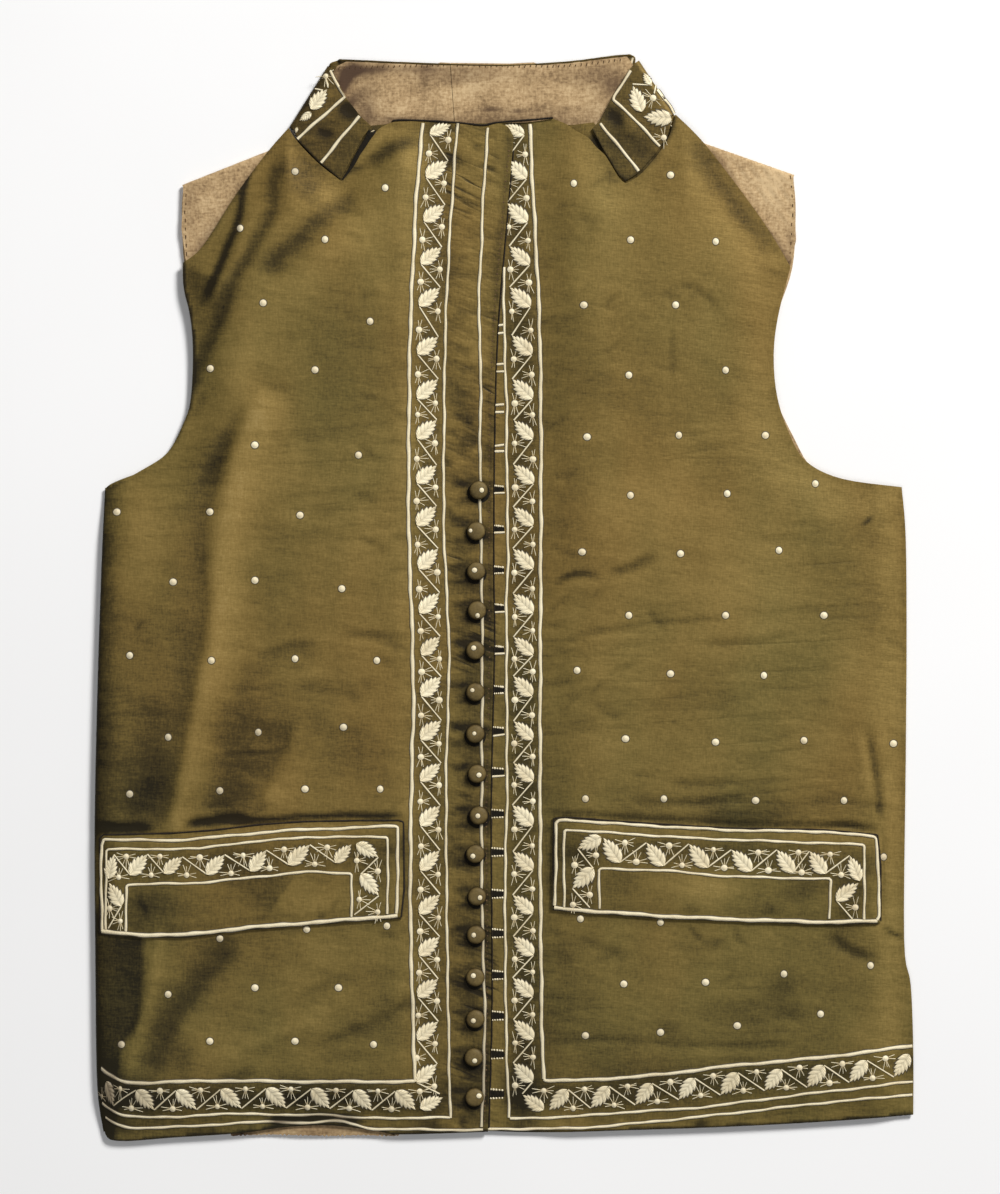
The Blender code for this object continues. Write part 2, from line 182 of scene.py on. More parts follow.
def even_lines(stops):
    """Grid lines from (first, last, step), (last, step), ... with a step for each stretch."""
    lines = [np.array([stops[0][0]])]
    for stretch in stops:
        start = lines[-1][-1]
        end, step = stretch[-2:]
        count = max(1, round(abs(end - start) / step))
        lines.append(np.linspace(start, end, count + 1)[1:])
    return np.concatenate(lines)


def ramp(value, start, end):
    """0 on start's side and 1 on end's side, with a smooth rise between."""
    part = np.clip((value - start) / (end - start), 0, 1)
    return part * part * (3 - 2 * part)


def lengths_along(curve):
    """How far along a curve each of its points lies."""
    return np.concatenate([[0], np.cumsum(np.linalg.norm(np.diff(curve, axis=0), axis=1))])


def waves(reach, *terms):
    """A sum of waves, each given as its swing, its length and where it starts."""
    return sum(swing * np.sin(reach / length + start) for swing, length, start in terms)


# How much of the rows' rise and painted shade the cloth keeps, and how narrow its sharpest crease is.
SOFTENED = (0.5, 0.65)
SHARPEST = 1.7
# Beyond so many widths nothing of a crease is left; it dies away over this length.
CREASE_REACH = 2.6
FADE = 14.0
FREE_WIDTH = 8


def creases(points, rows, column):
    """The sum of creases: their rise from column 0, and the painted shade and light that they give
    from column 1.

    A crease follows its line, is as wide as told on its left and right, and dies away
    at its ends.
    """
    total = np.zeros(len(points))
    for line, left_width, right_width, *amounts in rows:
        amount = amounts[column] * SOFTENED[column]
        if not amount:
            continue
        left_width, right_width = max(left_width, SHARPEST), max(right_width, SHARPEST)
        line = np.array(curve_through(line, 3) if len(line) > 2 else line, float)
        reach = CREASE_REACH * max(left_width, right_width) + 2
        near = ((points > line.min(axis=0) - reach) & (points < line.max(axis=0) + reach)).all(1)
        spots = points[near]
        starts = lengths_along(line)
        lengths, whole = np.diff(starts), starts[-1]
        gap, side, travel = (np.full(len(spots), value) for value in (np.inf, 0.0, 0.0))
        for start, end, length, before in zip(line, line[1:], lengths, starts):
            ahead = (end - start) / (length + 1e-9)
            part = np.clip((spots - start) @ ahead, 0, length)
            offset = spots - start - part[:, None] * ahead
            apart = np.linalg.norm(offset, axis=1)
            closer = apart < gap
            gap[closer] = apart[closer]
            side[closer] = (np.sign(offset @ (-ahead[1], ahead[0])) * apart)[closer]
            travel[closer] = (before + part)[closer]
        wander = waves(travel, (0.35, 5, starts[1]), (0.5, 13, whole))
        side += wander * min(1.0, (left_width + right_width) / FREE_WIDTH)
        width = np.where(side > 0, left_width, right_width)
        fade = ramp(np.minimum(travel, whole - travel), -0.1, min(FADE, 0.4 * whole))
        total[near] += amount * np.exp(-(side / width) ** 2) * fade
    return total


PAST_FOLD_ENDS = 40


def fold_over(points, level, fold):
    """Carry all that lies beyond a fold's line through half a turn, up and back."""
    start, end, bend, _ = fold
    along, outward = fold_frame(start, end)
    beyond = (points - start) @ outward
    reach = (points - start) @ along
    span = np.linalg.norm(np.subtract(end, start))
    over = (beyond > 1e-6) & (reach > -PAST_FOLD_ENDS) & (reach < span + PAST_FOLD_ENDS)
    turn = np.minimum(beyond / bend, math.pi)
    sideways = np.where(beyond < math.pi * bend, bend * np.sin(turn), math.pi * bend - beyond)
    points = np.where(over[:, None], points + outward * (sideways - beyond)[:, None], points)
    level = np.where(over, level + bend * (1 - np.cos(turn)), level)
    return points, level


def to_metres(points, level):
    """Places in the tables' terms and their levels, as points of a mesh."""
    return np.stack([points[:, 0], points[:, 1] - HEM_TO_MIDDLE, level], 1) * MM


def add_mesh(name, vertices, faces, material):
    """A new piece from points in metres, alone selected for what is done to it next."""
    data = bpy.data.meshes.new(name)
    data.from_pydata(vertices.tolist(), [], faces)
    data.materials.append(material)
    piece = bpy.data.objects.new(name, data)
    bpy.context.scene.collection.objects.link(piece)
    bpy.ops.object.select_all(action="DESELECT")
    piece.select_set(True)
    bpy.context.view_layer.objects.active = piece
    return piece


CLOTH_MERGE = 0.15 * MM
CLOTH_SLIVER = 0.05 * MM
CLOTH_SHARP = math.radians(50)


def add_cloth(name, points, level, faces, wall, material):
    """A sheet of cloth with a wall, from its points and the heights of its middle."""
    piece = add_mesh(name, to_metres(points, level), faces.tolist(), material)
    mesh = bmesh.new()
    mesh.from_mesh(piece.data)
    bmesh.ops.remove_doubles(mesh, verts=mesh.verts, dist=CLOTH_MERGE)
    bmesh.ops.dissolve_degenerate(mesh, edges=mesh.edges, dist=CLOTH_SLIVER)
    mesh.to_mesh(piece.data)
    mesh.free()
    solidify = piece.modifiers.new("wall", "SOLIDIFY")
    solidify.thickness = wall * MM
    solidify.offset = 0.0
    bpy.ops.object.modifier_apply(modifier=solidify.name)
    bpy.ops.object.shade_smooth_by_angle(angle=CLOTH_SHARP)
    return piece


def coordinates_of(piece):
    """The points of a finished piece in the tables' terms, and their levels."""
    places = np.empty(len(piece.data.vertices) * 3)
    piece.data.vertices.foreach_get("co", places)
    places = places.reshape(-1, 3) / MM
    return places[:, :2] + (0, HEM_TO_MIDDLE), places[:, 2]


def add_tone(piece, name, values):
    """Write a number at each point of a piece, for its material to read."""
    layer = piece.data.attributes.new(name, "FLOAT", "POINT")
    layer.data.foreach_set("value", np.asarray(values, np.float32))


def smudges(points, rows):
    """Soft patches: middle, reach along and across, how far they are turned, strength."""
    total = np.zeros(len(points))
    for across, up, long, short, turn, strength in rows:
        c, s = math.cos(math.radians(turn)), math.sin(math.radians(turn))
        offset = points - (across, up)
        total += strength * np.exp(-((offset @ (c, s)) / long) ** 2
                                   - ((offset @ (-s, c)) / short) ** 2)
    return total


def join_inputs(made, inputs):
    """Set a material node's numbers, and link to it what feeds it."""
    for key, value in dict(inputs).items():
        if isinstance(value, bpy.types.NodeSocket):
            made.id_data.links.new(value, made.inputs[key])
        else:
            made.inputs[key].default_value = value


def node(tree, kind, inputs=(), output=0, **settings):
    """A new material node's output."""
    made = tree.nodes.new("ShaderNode" + kind)
    for key, value in settings.items():
        setattr(made, key, value)
    join_inputs(made, inputs)
    return made.outputs[output]


def reading(tree, name):
    """A tone that the piece carries at its points."""
    return node(tree, "Attribute", output="Fac", attribute_name=name)


def math_of(tree, operation, first, second=0.0, clamp=False):
    """One sum on one or two sockets or numbers."""
    return node(tree, "Math", {0: first, 1: second}, operation=operation, use_clamp=clamp)


def sum_of(tree, *terms):
    """The sum of (socket, weight) pairs, and of plain numbers."""
    total = 0.0
    for term in terms:
        if isinstance(term, tuple):
            total = node(tree, "Math", {0: term[0], 1: term[1], 2: total},
                         operation="MULTIPLY_ADD")
        else:
            total = math_of(tree, "ADD", total, term)
    return total


def mixed(tree, factor, first, second):
    """The first colour, giving way to the second as the factor grows."""
    return node(tree, "MixRGB", {0: factor, 1: first, 2: second})


def colours_by(tree, factor, *stops):
    """A colour ramp over (position, red, green, blue) stops."""
    ramp_colour = node(tree, "ValToRGB", {0: factor})
    elements = ramp_colour.node.color_ramp.elements
    while len(elements) < len(stops):
        elements.new(0.5)
    for element, (position, *colour) in zip(elements, stops):
        element.position = position
        element.color = (*colour, 1.0)
    return ramp_colour


def grain(tree, where, scale, stretch=(1, 1, 1), detail=2.0, turn=0.0):
    """Cloudy noise; a small number in the stretch draws it out, at that turn from the axis."""
    if turn:
        where = node(tree, "Mapping", {"Vector": where, "Rotation": (0, 0, math.radians(-turn))})
    spread = node(tree, "Mapping", {"Vector": where, "Scale": stretch})
    return node(tree, "TexNoise", {"Vector": spread, "Scale": scale, "Detail": detail,
                                   "Roughness": 0.55})


# How far apart the bands of a wave pattern are at a scale of 1.
WAVE_SPACING = 0.314


def plain_weave(tree, where, period):
    """Threads that pass over and under each other, 0 to 1."""
    bands = [node(tree, "TexWave", {"Vector": where, "Scale": WAVE_SPACING / (period * MM),
                                    "Distortion": 0.6, "Detail": 1.0, "Detail Scale": 0.4},
                  "Fac", bands_direction=axis) for axis in ("X", "Y")]
    return math_of(tree, "MAXIMUM", *bands)


def start_material(name):
    """An empty material with its shader, its output and the piece's own coordinates."""
    material = bpy.data.materials.new(name)
    material.use_nodes = True
    tree = material.node_tree
    tree.nodes.clear()
    surface = node(tree, "BsdfPrincipled")
    end = tree.nodes.new("ShaderNodeOutputMaterial")
    join_inputs(end, {"Surface": surface})
    end.is_active_output = True
    return material, tree, surface.node, node(tree, "TexCoord", output="Object")


def dress(shader, colour, roughness, gloss, relief=(), sheen=0.0, metallic=0.0):
    """Give a shader its colour, its finish and its relief: a height, how strong, how deep."""
    join_inputs(shader, {"Base Color": colour, "Roughness": roughness, "Metallic": metallic,
                         "Specular IOR Level": gloss, "Sheen Weight": sheen})
    if relief:
        height, strength, depth = relief
        bump = node(shader.id_data, "Bump", {"Height": height, "Strength": strength,
                                             "Distance": depth * MM})
        join_inputs(shader, {"Normal": bump})


def linen_material():
    """Matt beige linen: uneven threads, and where the piece carries a tone, brown age stains together
    with painted shade.
    """
    material, tree, shader, where = start_material("linen")
    stain = reading(tree, "stain")
    across_threads = grain(tree, where, 140, (1.3, 7, 1), 3)
    up_threads = grain(tree, where, 140, (7, 1.3, 1), 3)
    clouds = grain(tree, where, 30, detail=5)
    rumples = grain(tree, where, 80, (0.6, 2.2, 1), 3, 28)
    weave = plain_weave(tree, where, 0.9)
    blotch = grain(tree, where, 90, detail=5)
    specks = grain(tree, where, 560, detail=3)
    tone = sum_of(tree, (across_threads, 0.62), (up_threads, 0.52), (clouds, 0.90), (specks, 1.10),
                  (rumples, 0.46), (stain, -0.35), -1.26)
    cloth = colours_by(tree, tone, (0.15, 0.225, 0.145, 0.072), (0.5, 0.43, 0.290, 0.148),
                       (0.85, 0.60, 0.435, 0.240))
    # The carried tone darkens the linen towards brown: age stains, and painted shade.
    stain_and_shade_mix = math_of(tree, "MULTIPLY", stain, sum_of(tree, (blotch, 1.3), 0.25), clamp=True)
    colour = mixed(tree, stain_and_shade_mix, cloth, (0.082, 0.048, 0.029, 1))
    height = sum_of(tree, (weave, 0.30), (across_threads, 0.5), (up_threads, 0.4), (rumples, 1.6))
    dress(shader, colour, 0.92, 0.15, (height, 0.45, 0.35), sheen=0.12)
    return material


linen = linen_material()

# One crease a row: its line, its width to the left and to the right, its rise.
BACK_CREASES = (
    (((-150, 60), (-146, 190), (-128, 330)), 6, 14, 1.1),
    (((148, 40), (150, 170), (138, 300)), 12, 6, 1.2),
    (((-110, 350), (-92, 405), (-66, 470)), 7, 11, 1.0),
    (((72, 360), (96, 434), (130, 500)), 9, 7, 1.0),
    (((-205, 250), (-150, 282), (-96, 300)), 9, 5, 0.9),
    (((92, 180), (152, 192), (214, 214)), 6, 9, 0.9),
    (((-190, 120), (-136, 112), (-84, 96)), 8, 8, 0.8),
    (((80, 96), (138, 74), (200, 60)), 8, 8, 0.8),
)
# Brown age stains, painted shade where the silk's edge lies over the linen and along the armholes,
# and one patch painted lighter: middle, reach, turn, strength.
SHOULDER_STAINS_AND_SHADE = (
    (-161, 556, 30, 4.0, 57, 0.62),
    (-182, 527, 20, 4.5, 62, 0.55),
    (-152, 570, 14, 3.0, 52, 0.30),
    (-188, 556, 5, 16, 0, 0.16),
    (146, 552, 32, 4.5, -54, 0.75),
    (163, 528, 22, 4.5, -54, 0.70),
    (172, 535, 3.0, 20, 0, 0.22),
    (131, 578, 16, 4.0, -52, 0.45),
    (160, 566, 18, 14, -50, -0.8),
)

FOLDS = {"left_shoulder": LEFT_SHOULDER, "right_shoulder": RIGHT_SHOULDER}
back_outline = outline_of(BACK_RUNS, FOLDS)
points, faces = cut_cloth(back_outline, ((-250, -120, 2), (-110, 5), (110, 5), (250, 2)),
                          ((0, 500, 5), (560, 2), (600, 1), (660, 2)))
calm = (ramp(np.abs(points[:, 0]), *FLAT_MIDDLE)
        * ramp(nearest_on_edge(points, back_outline)[0], *FLAT_EDGE))
level = BACK_LEVEL + creases(points, BACK_CREASES, 0) * calm
for fold in FOLDS.values():
    points, level = fold_over(points, level, fold)
# The felled edge pulls the forward part into shallow puckers.
forward = level > BACK_LEVEL + 2 * SHOULDER_BEND - 0.1
ripple = np.sin(points[:, 0] * 0.9 + points[:, 1] * 0.55) * np.sin(points[:, 1] * 0.23 + 1)
level = np.where(forward, level + PUCKER * ripple, level)
back = add_cloth("back_linen", points, level, faces, LINEN_WALL, linen)
spots, heights = coordinates_of(back)
add_tone(back, "stain", smudges(spots, SHOULDER_STAINS_AND_SHADE) * (heights > STAINS_AND_SHADE_ABOVE))
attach(back, "root")
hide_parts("back")

# ----------------------------------------
# The left front: olive silk taffeta over an interlining, with its front edge
# under the right front.  It is loose between its edges and lies in soft
# creases; at its side it is sewn down flat on the back.

SILK_WALL = 1.2
UNDERLAP_LEVEL = 2.1
FRONT_LEVEL = 3.6
NECK_RAISE = 1.5
NECK_RISE = (420, 508)
SWELL_REACH = 19.0
LEFT_SWELL = 2.2
LEFT_LOOSENS = (22, 60)
LEFT_STEP_UP = (16, 44)
LEFT_STEP_DOWN = (222, 241)
# The dark rim along every edge: how wide, how dark.
DARK_RIM = (1.5, -0.16)
# The strip that the buttons and buttonholes draw in: its middle, half width and soft edge.
DRAWN_MIDDLE, DRAWN_HALF, DRAWN_EDGE = -20, 12, 4

LEFT_FRONT_RUNS = (
    ((-24, 1), (-25, 139), (-25, 379), (-27.5, 499), (-29, 605)),
    ((-29, 605), (-4, 605.5), (14.5, 606), (29.5, 608)),
    ((29.5, 608), (37, 605), (43.5, 600.6), (50.6, 596.6), (55.3, 591), (60.4, 586.4),
     (64.2, 580.6), (68, 574.2), (71.4, 570)),
    ((71.4, 570), (74, 569.4), (82, 574.5), (92, 586), (99, 597), (103, 610.5)),
    ((103, 610.5), (119.5, 594), (142, 565), (159, 541), (172, 519)),
    ((172, 519), (164.5, 489), (162, 466), (164, 442), (171, 420), (181.5, 402.5), (203, 392),
     (239, 387)),
    ((239, 387), (241.5, 356), (242, 295), (241.5, 223), (240.5, 116), (244.5, 88), (246, 49),
     (246, 10)),
    ((246, 10), (191.5, 6), (134, 3), (76.5, 1), (19.5, -0.5), (-24, 1)),
)
# Creases: the line, widths to its left and right, the rise, and the tone painted along it: painted
# shade where it is negative, painted light where it is positive.
LEFT_FRONT_CREASES = (
    (((110, 598), (126, 574), (144, 550), (164, 522)), 8, 9, -1.4, -0.34),
    (((131, 562), (142, 549), (153, 539)), 3, 4.5, 0, -0.18),
    (((127, 577), (142, 561), (159, 540)), 2, 2, 0.8, 0.12),
    (((148, 525), (157, 516), (172, 514)), 2.5, 2.5, -0.8, -0.20),
    (((62, 579), (66, 571)), 1.1, 1.1, -0.4, -0.30),
    (((67, 581), (71, 571)), 1.1, 1.1, -0.4, -0.30),
    (((59, 572), (71, 569)), 1.1, 1.1, -0.4, -0.26),
    (((57, 567), (63, 561), (70, 560)), 1.4, 1.4, -0.3, -0.14),
    (((40, 553), (48, 546), (57, 538)), 4, 4, -0.6, -0.14),
    (((96, 506), (112, 507), (123, 499), (131, 488)), 2.5, 3, -0.6, -0.16),
    (((94, 505), (103, 499)), 1.8, 1.8, -0.4, -0.18),
    (((101.6, 488), (101.0, 466), (101.3, 444)), 0.9, 0.9, -0.3, -0.2),
    (((23, 421), (31, 425), (42, 430)), 1.6, 1.8, -0.4, -0.18),
    (((23, 394), (34, 393.5), (47, 395.5)), 1.4, 1.6, -0.3, -0.18),
    (((18, 569), (32, 565)), 1.4, 1.6, -0.3, -0.18),
    (((27, 325), (36, 333), (47, 335.5), (61, 333)), 1.8, 3, -1.2, -0.60),
    (((56, 334), (72, 337), (84, 342), (95, 348)), 3.0, 4.0, -1.2, -0.44),
    (((34, 327), (52, 329), (72, 330)), 3, 4, 0.7, 0.08),
    (((24, 351), (36, 348), (52, 342)), 1.6, 1.8, -0.4, -0.18),
    (((24, 303), (40, 305.5)), 1.3, 1.5, -0.3, -0.18),
    (((33, 296), (56, 300), (80, 304), (108, 307), (139, 309)), 1.6, 2.2, -0.6, -0.26),
    (((84, 317), (90, 308), (99, 298)), 1.8, 2, -0.5, -0.18),
    (((116, 294), (140, 293.5), (158, 295), (178, 299)), 2.5, 3.4, -0.7, -0.17),
    (((49, 261), (60, 269)), 1.5, 1.6, -0.4, -0.22),
    (((59, 272), (70, 278), (83, 281)), 2, 2, -0.4, -0.14),
    (((226, 297), (234, 294), (243, 289)), 1.8, 2.2, -0.6, -0.28),
    (((218, 243), (222, 220), (225, 204), (225, 192), (229, 182)), 3.2, 2.4, -1.4, -0.48),
    (((212, 244), (216, 216), (218, 198)), 3, 3.4, 0.8, 0.09),
    (((95, 210), (120, 208.5), (145, 212)), 3, 4, -0.9, -0.18),
    (((74, 214.5), (94, 214.5)), 1.3, 1.6, -0.3, -0.14),
    (((73, 199), (92, 197), (111, 197), (130, 199), (150, 201)), 2.5, 3.4, -0.9, -0.20),
    (((176, 198), (200, 198), (243, 195)), 1.3, 1.6, -0.4, -0.17),
    (((231, 217), (242, 205)), 1.6, 1.8, -0.5, -0.22),
    (((24, 193.5), (36, 194.5)), 1.3, 1.5, -0.3, -0.16),
    (((37, 121), (53, 113), (66, 107), (77, 101)), 3, 4.2, -0.9, -0.18),
    (((109, 125.5), (114, 119), (121, 113)), 1.1, 1.4, -0.6, -0.36),
    (((136, 121), (141, 115), (147, 109.5)), 1.5, 2, -0.6, -0.28),
    (((190, 122), (200, 115), (210, 109), (229, 103)), 3.2, 5, -1.5, -0.42),
    (((24, 55.5), (60, 55), (100, 53), (140, 51), (176, 51)), 2, 3, -0.8, -0.15),
    (((224, 125), (232, 120), (243, 114)), 1.6, 1.6, -0.8, -0.66),
    (((228, 186), (228.6, 155), (228, 124)), 2.2, 1.4, 0, -0.26),
    (((27, 190), (27.4, 160), (26.4, 132)), 1.4, 2.2, 0, -0.24),
    (((26, 131), (96, 126), (134, 124.5), (226, 123)), 1.2, 2.4, 0, -0.14),
)
# The silk between the cords of the bands, painted darker.
LEFT_GROUND = (
    (((12, -20), (12, 300), (11, 460), (6, 625)), 10, 10, 0, -0.46),
    (((-6, 19), (57, 21), (134, 29.4), (265, 43)), 10, 7, 0, -0.40),
)
# The mouth of the pocket, above the welt: a dip, darkened with painted shade.
LEFT_MOUTH = (
    (((25, 190.5), (50, 190.5), (80, 188.5), (135, 185), (190, 184), (230, 181.5)),
     1.5, 2.4, -1.3, -0.36),
    (((188, 184.5), (204, 185), (220, 183)), 1.8, 2, -0.8, -0.30),
)
# Soft patches of painted light and painted shade: middle, reach along and across, turn, strength.
LEFT_FRONT_TONES = (
    (62, 470, 24, 24, 0, 0.05), (118, 482, 18, 16, 0, 0.07), (68, 318, 18, 14, 0, -0.06),
    (108, 258, 30, 22, 80, -0.08), (88, 372, 34, 22, 0, 0.08), (148, 326, 28, 24, 0, 0.06),
    (209, 283, 17, 16, 60, 0.09), (222, 236, 30, 6, 90, 0.08), (212, 345, 42, 28, 90, -0.06),
    (218, 366.5, 3.6, 1.3, 38, -0.42), (144, 190, 28, 5, 0, -0.18), (128, 114, 7, 3.5, 20, -0.16),
    (168, 88, 13, 7, 12, -0.16), (174, 73, 10, 5, 0, -0.13), (35, 66, 12, 12, 0, -0.10),
    (96, 64, 10, 4, 0, -0.14), (110, 92, 38, 12, 0, 0.06), (196, 150, 30, 9, 90, -0.04),
    (226, 60, 14, 24, 0, 0.05), (206, 122, 9, 4, -30, -0.10), (150, 566, 10, 6, -60, 0.05),
    (40, 380, 12, 26, 0, -0.05), (70, 236, 30, 10, 10, 0.05), (130, 420, 40, 16, 20, 0.04),
    (125, 76, 110, 44, 0, -0.10), (120, 340, 90, 60, 0, 0.05), (214, 86, 20, 18, 0, -0.08),
    (132, 196, 60, 12, 0, -0.13), (95, 30, 60, 16, 0, -0.06), (8, 30, 14, 20, 0, -0.18),
    (54, 516, 22, 26, 0, 0.14), (222, 290, 14, 80, 0, -0.06),
)


def spread(tree, value, low, high, to_low=0.0, to_high=1.0):
    """A value carried from one range to another, and held at its ends."""
    return node(tree, "MapRange", {"Value": value, "From Min": low, "From Max": high,
                                   "To Min": to_low, "To Max": to_high})


def fine_wrinkles(tree, where, scale, turn, width):
    """Thin crisp creases that come and go, 0 between them and 1 along them."""
    lines = grain(tree, where, scale, (0.3, 3.2, 1), 1.5, turn)
    beside = math_of(tree, "ABSOLUTE", math_of(tree, "SUBTRACT", lines, 0.5))
    creased = spread(tree, grain(tree, where, scale / 3.0), 0.49, 0.60)
    return math_of(tree, "MULTIPLY", spread(tree, beside, width, 0.0), creased)


def silk_material():
    """Shot taffeta: brown one way and green the other, with painted light and shade from its tone,
    golden where it faces the light.
    """
    material, tree, shader, where = start_material("olive_silk")
    slope, drawn = reading(tree, "tone"), reading(tree, "drawn")
    along = grain(tree, where, 150, (1.2, 7, 1), 3)
    down = grain(tree, where, 150, (7, 1.2, 1), 3)
    specks = grain(tree, where, 700)
    clouds = grain(tree, where, 11, detail=3)
    patches = grain(tree, where, 42, (1, 0.6, 1), 4, 20)
    crinkles = grain(tree, where, 75, (0.5, 2.4, 1), 4, -12)
    wrinkles = fine_wrinkles(tree, where, 26, 4, 0.08)
    gathers = math_of(tree, "MULTIPLY", drawn, fine_wrinkles(tree, where, 44, -22, 0.07))
    ruffles = spread(tree, grain(tree, where, 80, (0.6, 1.9, 1), 2, -22), 0.36, 0.62, -0.6, 0.4)
    ruffles = math_of(tree, "MULTIPLY", drawn, ruffles)
    weave = plain_weave(tree, where, 0.55)
    # The tone: the painted light and shade that the piece carries, random clouds and threads, and
    # painted shade along the fine creases and the gathers.
    tone = sum_of(tree, (slope, 1.0), (along, 0.30), (down, 0.28), (specks, 0.26), (clouds, 0.24),
                  (patches, 0.28), (crinkles, 0.26), (wrinkles, -0.08), (gathers, -0.50),
                  (ruffles, 0.17), -0.775)
    brown = colours_by(tree, tone, (0.0, 0.024, 0.0165, 0.0065), (0.22, 0.076, 0.0510, 0.0148),
                       (0.5, 0.196, 0.1270, 0.0340), (0.75, 0.296, 0.196, 0.0580),
                       (1.0, 0.43, 0.296, 0.108))
    green = colours_by(tree, tone, (0.0, 0.018, 0.0145, 0.0060), (0.22, 0.060, 0.0465, 0.0145),
                       (0.5, 0.160, 0.1200, 0.0335), (0.75, 0.262, 0.190, 0.0570),
                       (1.0, 0.39, 0.292, 0.108))
    # The shot comes and goes in clouds, and is greener low on the fronts.
    shot = spread(tree, grain(tree, where, 9, (1, 0.55, 1), 3), 0.38, 0.70)
    height_up = node(tree, "SeparateXYZ", {"Vector": where}, "Y")
    shot = math_of(tree, "ADD", shot, spread(tree, height_up, -0.10, -0.25, 0.0, 0.5), clamp=True)
    height = sum_of(tree, (weave, 0.10), (along, 0.34), (down, 0.30), (crinkles, 1.5),
                    (wrinkles, -0.5), (gathers, -1.5), (ruffles, 1.2))
    dress(shader, mixed(tree, shot, brown, green), 0.55, 0.15, (height, 0.45, 0.5), metallic=0.3)
    return material


# A fine crease bows by up to a part of its half length, and sinks as far as its painted shade is
# dark.
BOW = 0.12
SINK_FOR_TONE = 2.2


def small_creases(seed, count, box, angles, amount, length=(10, 34), width=(1.2, 2.6)):
    """Fine creases scattered over a stretch of cloth, mostly along the same way: painted shade where
    one sinks, painted light where one rises.
    """
    draw = random.Random(seed)
    rows = []
    for _ in range(count):
        middle = np.array((draw.uniform(box[0], box[2]), draw.uniform(box[1], box[3])))
        turn = math.radians(draw.gauss(*angles))
        half = draw.uniform(*length) / 2 * np.array((math.cos(turn), math.sin(turn)))
        bow = draw.uniform(-BOW, BOW) * np.array((-half[1], half[0]))
        depth = draw.uniform(0.4, 1.0) * amount * draw.choice((1, 1, -0.6))
        rows.append(((middle - half, middle + bow, middle + half), draw.uniform(*width),
                     draw.uniform(*width), -SINK_FOR_TONE * depth, -depth))
    return tuple(rows)


# The way to the light, and how far the silk's colour is painted darker and brighter as it leans.
LIGHT_WAY = (0.62, 0.78)
LEAN_LIMITS = (-0.5, 0.22)


def slope_light_and_shade(piece, strength=0.85):
    """How far each point of a piece slopes towards the light, painted as light and shade on the silk.
    """
    normals = np.empty(len(piece.data.vertices) * 3)
    piece.data.vertices.foreach_get("normal", normals)
    lean = normals.reshape(-1, 3)[:, :2] @ LIGHT_WAY
    return 0.5 + strength * np.clip(lean, *LEAN_LIMITS)


def add_silk_tone(piece, outline, rows, patches):
    """The painted light and shade of a silk piece: by its slope, in its creases and in soft patches,
    and a dark rim along its edges.
    """
    spots, _ = coordinates_of(piece)
    rim = np.exp(-(nearest_on_edge(spots, outline)[0] / DARK_RIM[0]) ** 2) * DARK_RIM[1]
    add_tone(piece, "tone", slope_light_and_shade(piece) + creases(spots, rows, 1)
             + smudges(spots, patches) + rim)
    beside = np.maximum(np.abs(spots[:, 0] - DRAWN_MIDDLE) - DRAWN_HALF, 0)
    add_tone(piece, "drawn", np.exp(-(beside / DRAWN_EDGE) ** 2))


silk = silk_material()


def swell(points, outline, height, loosens, rows):
    """How far a front stands up: at its neck, and where it is loose between its edges."""
    inside = 1 - np.exp(-(nearest_on_edge(points, outline)[0] / SWELL_REACH) ** 2)
    freedom = ramp(points[:, 0], *loosens) * inside
    return (NECK_RAISE * ramp(points[:, 1], *NECK_RISE)
            + freedom * (height + creases(points, rows, 0)))


def left_front_level(points, outline):
    """Height of the middle of the left front's wall."""
    over_underlap = np.minimum(ramp(points[:, 0], *LEFT_STEP_UP),
                               1 - ramp(points[:, 0], *LEFT_STEP_DOWN))
    return (UNDERLAP_LEVEL + (FRONT_LEVEL - UNDERLAP_LEVEL) * over_underlap
            + swell(points, outline, LEFT_SWELL, LEFT_LOOSENS, LEFT_FRONT_CREASES))


# Fine creases: which scatter, how many, from where to where, which way, how deep, how long.
LEFT_FINE = (
    (3, 26, (30, 200, 235, 560), (12, 22), 0.07),
    (4, 12, (30, 50, 235, 120), (20, 30), 0.07),
    (8, 46, (26, 60, 66, 575), (16, 14), 0.20, (10, 30)),
    (9, 26, (14, 2, 240, 9), (90, 24), 0.22, (7, 13)),
)
for row in LEFT_FINE:
    LEFT_FRONT_CREASES += small_creases(*row)
left_outline = outline_of(LEFT_FRONT_RUNS)
points, faces = cut_cloth(left_outline, ((-32, 250, 2),), ((-4, 616, 2),))
level = left_front_level(points, left_outline) + creases(points, LEFT_MOUTH, 0)
left_front = add_cloth("left_front_silk", points, level, faces, SILK_WALL, silk)
add_silk_tone(left_front, left_outline, LEFT_FRONT_CREASES + LEFT_GROUND + LEFT_MOUTH,
              LEFT_FRONT_TONES)
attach(left_front, "root")
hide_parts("left_front")

# ----------------------------------------
# The right front: the same silk, lapping over the left front.  Its side rolls
# over and turns in under itself; its front edge is turned in and prick-stitched.

RIGHT_SWELL = 4.5
RIGHT_LOOSENS = (-32, -66)
# The roll: how wide on top and beneath, how much more cloth it takes up on top, and how far
# its bend stands in from the side.
ROLL_WIDTH = 15.0
ROLL_UNDER = 4.0
ROLL_SLACK = 2.6
SIDE_BEND = 1.5
INNER_EDGE = -231.6

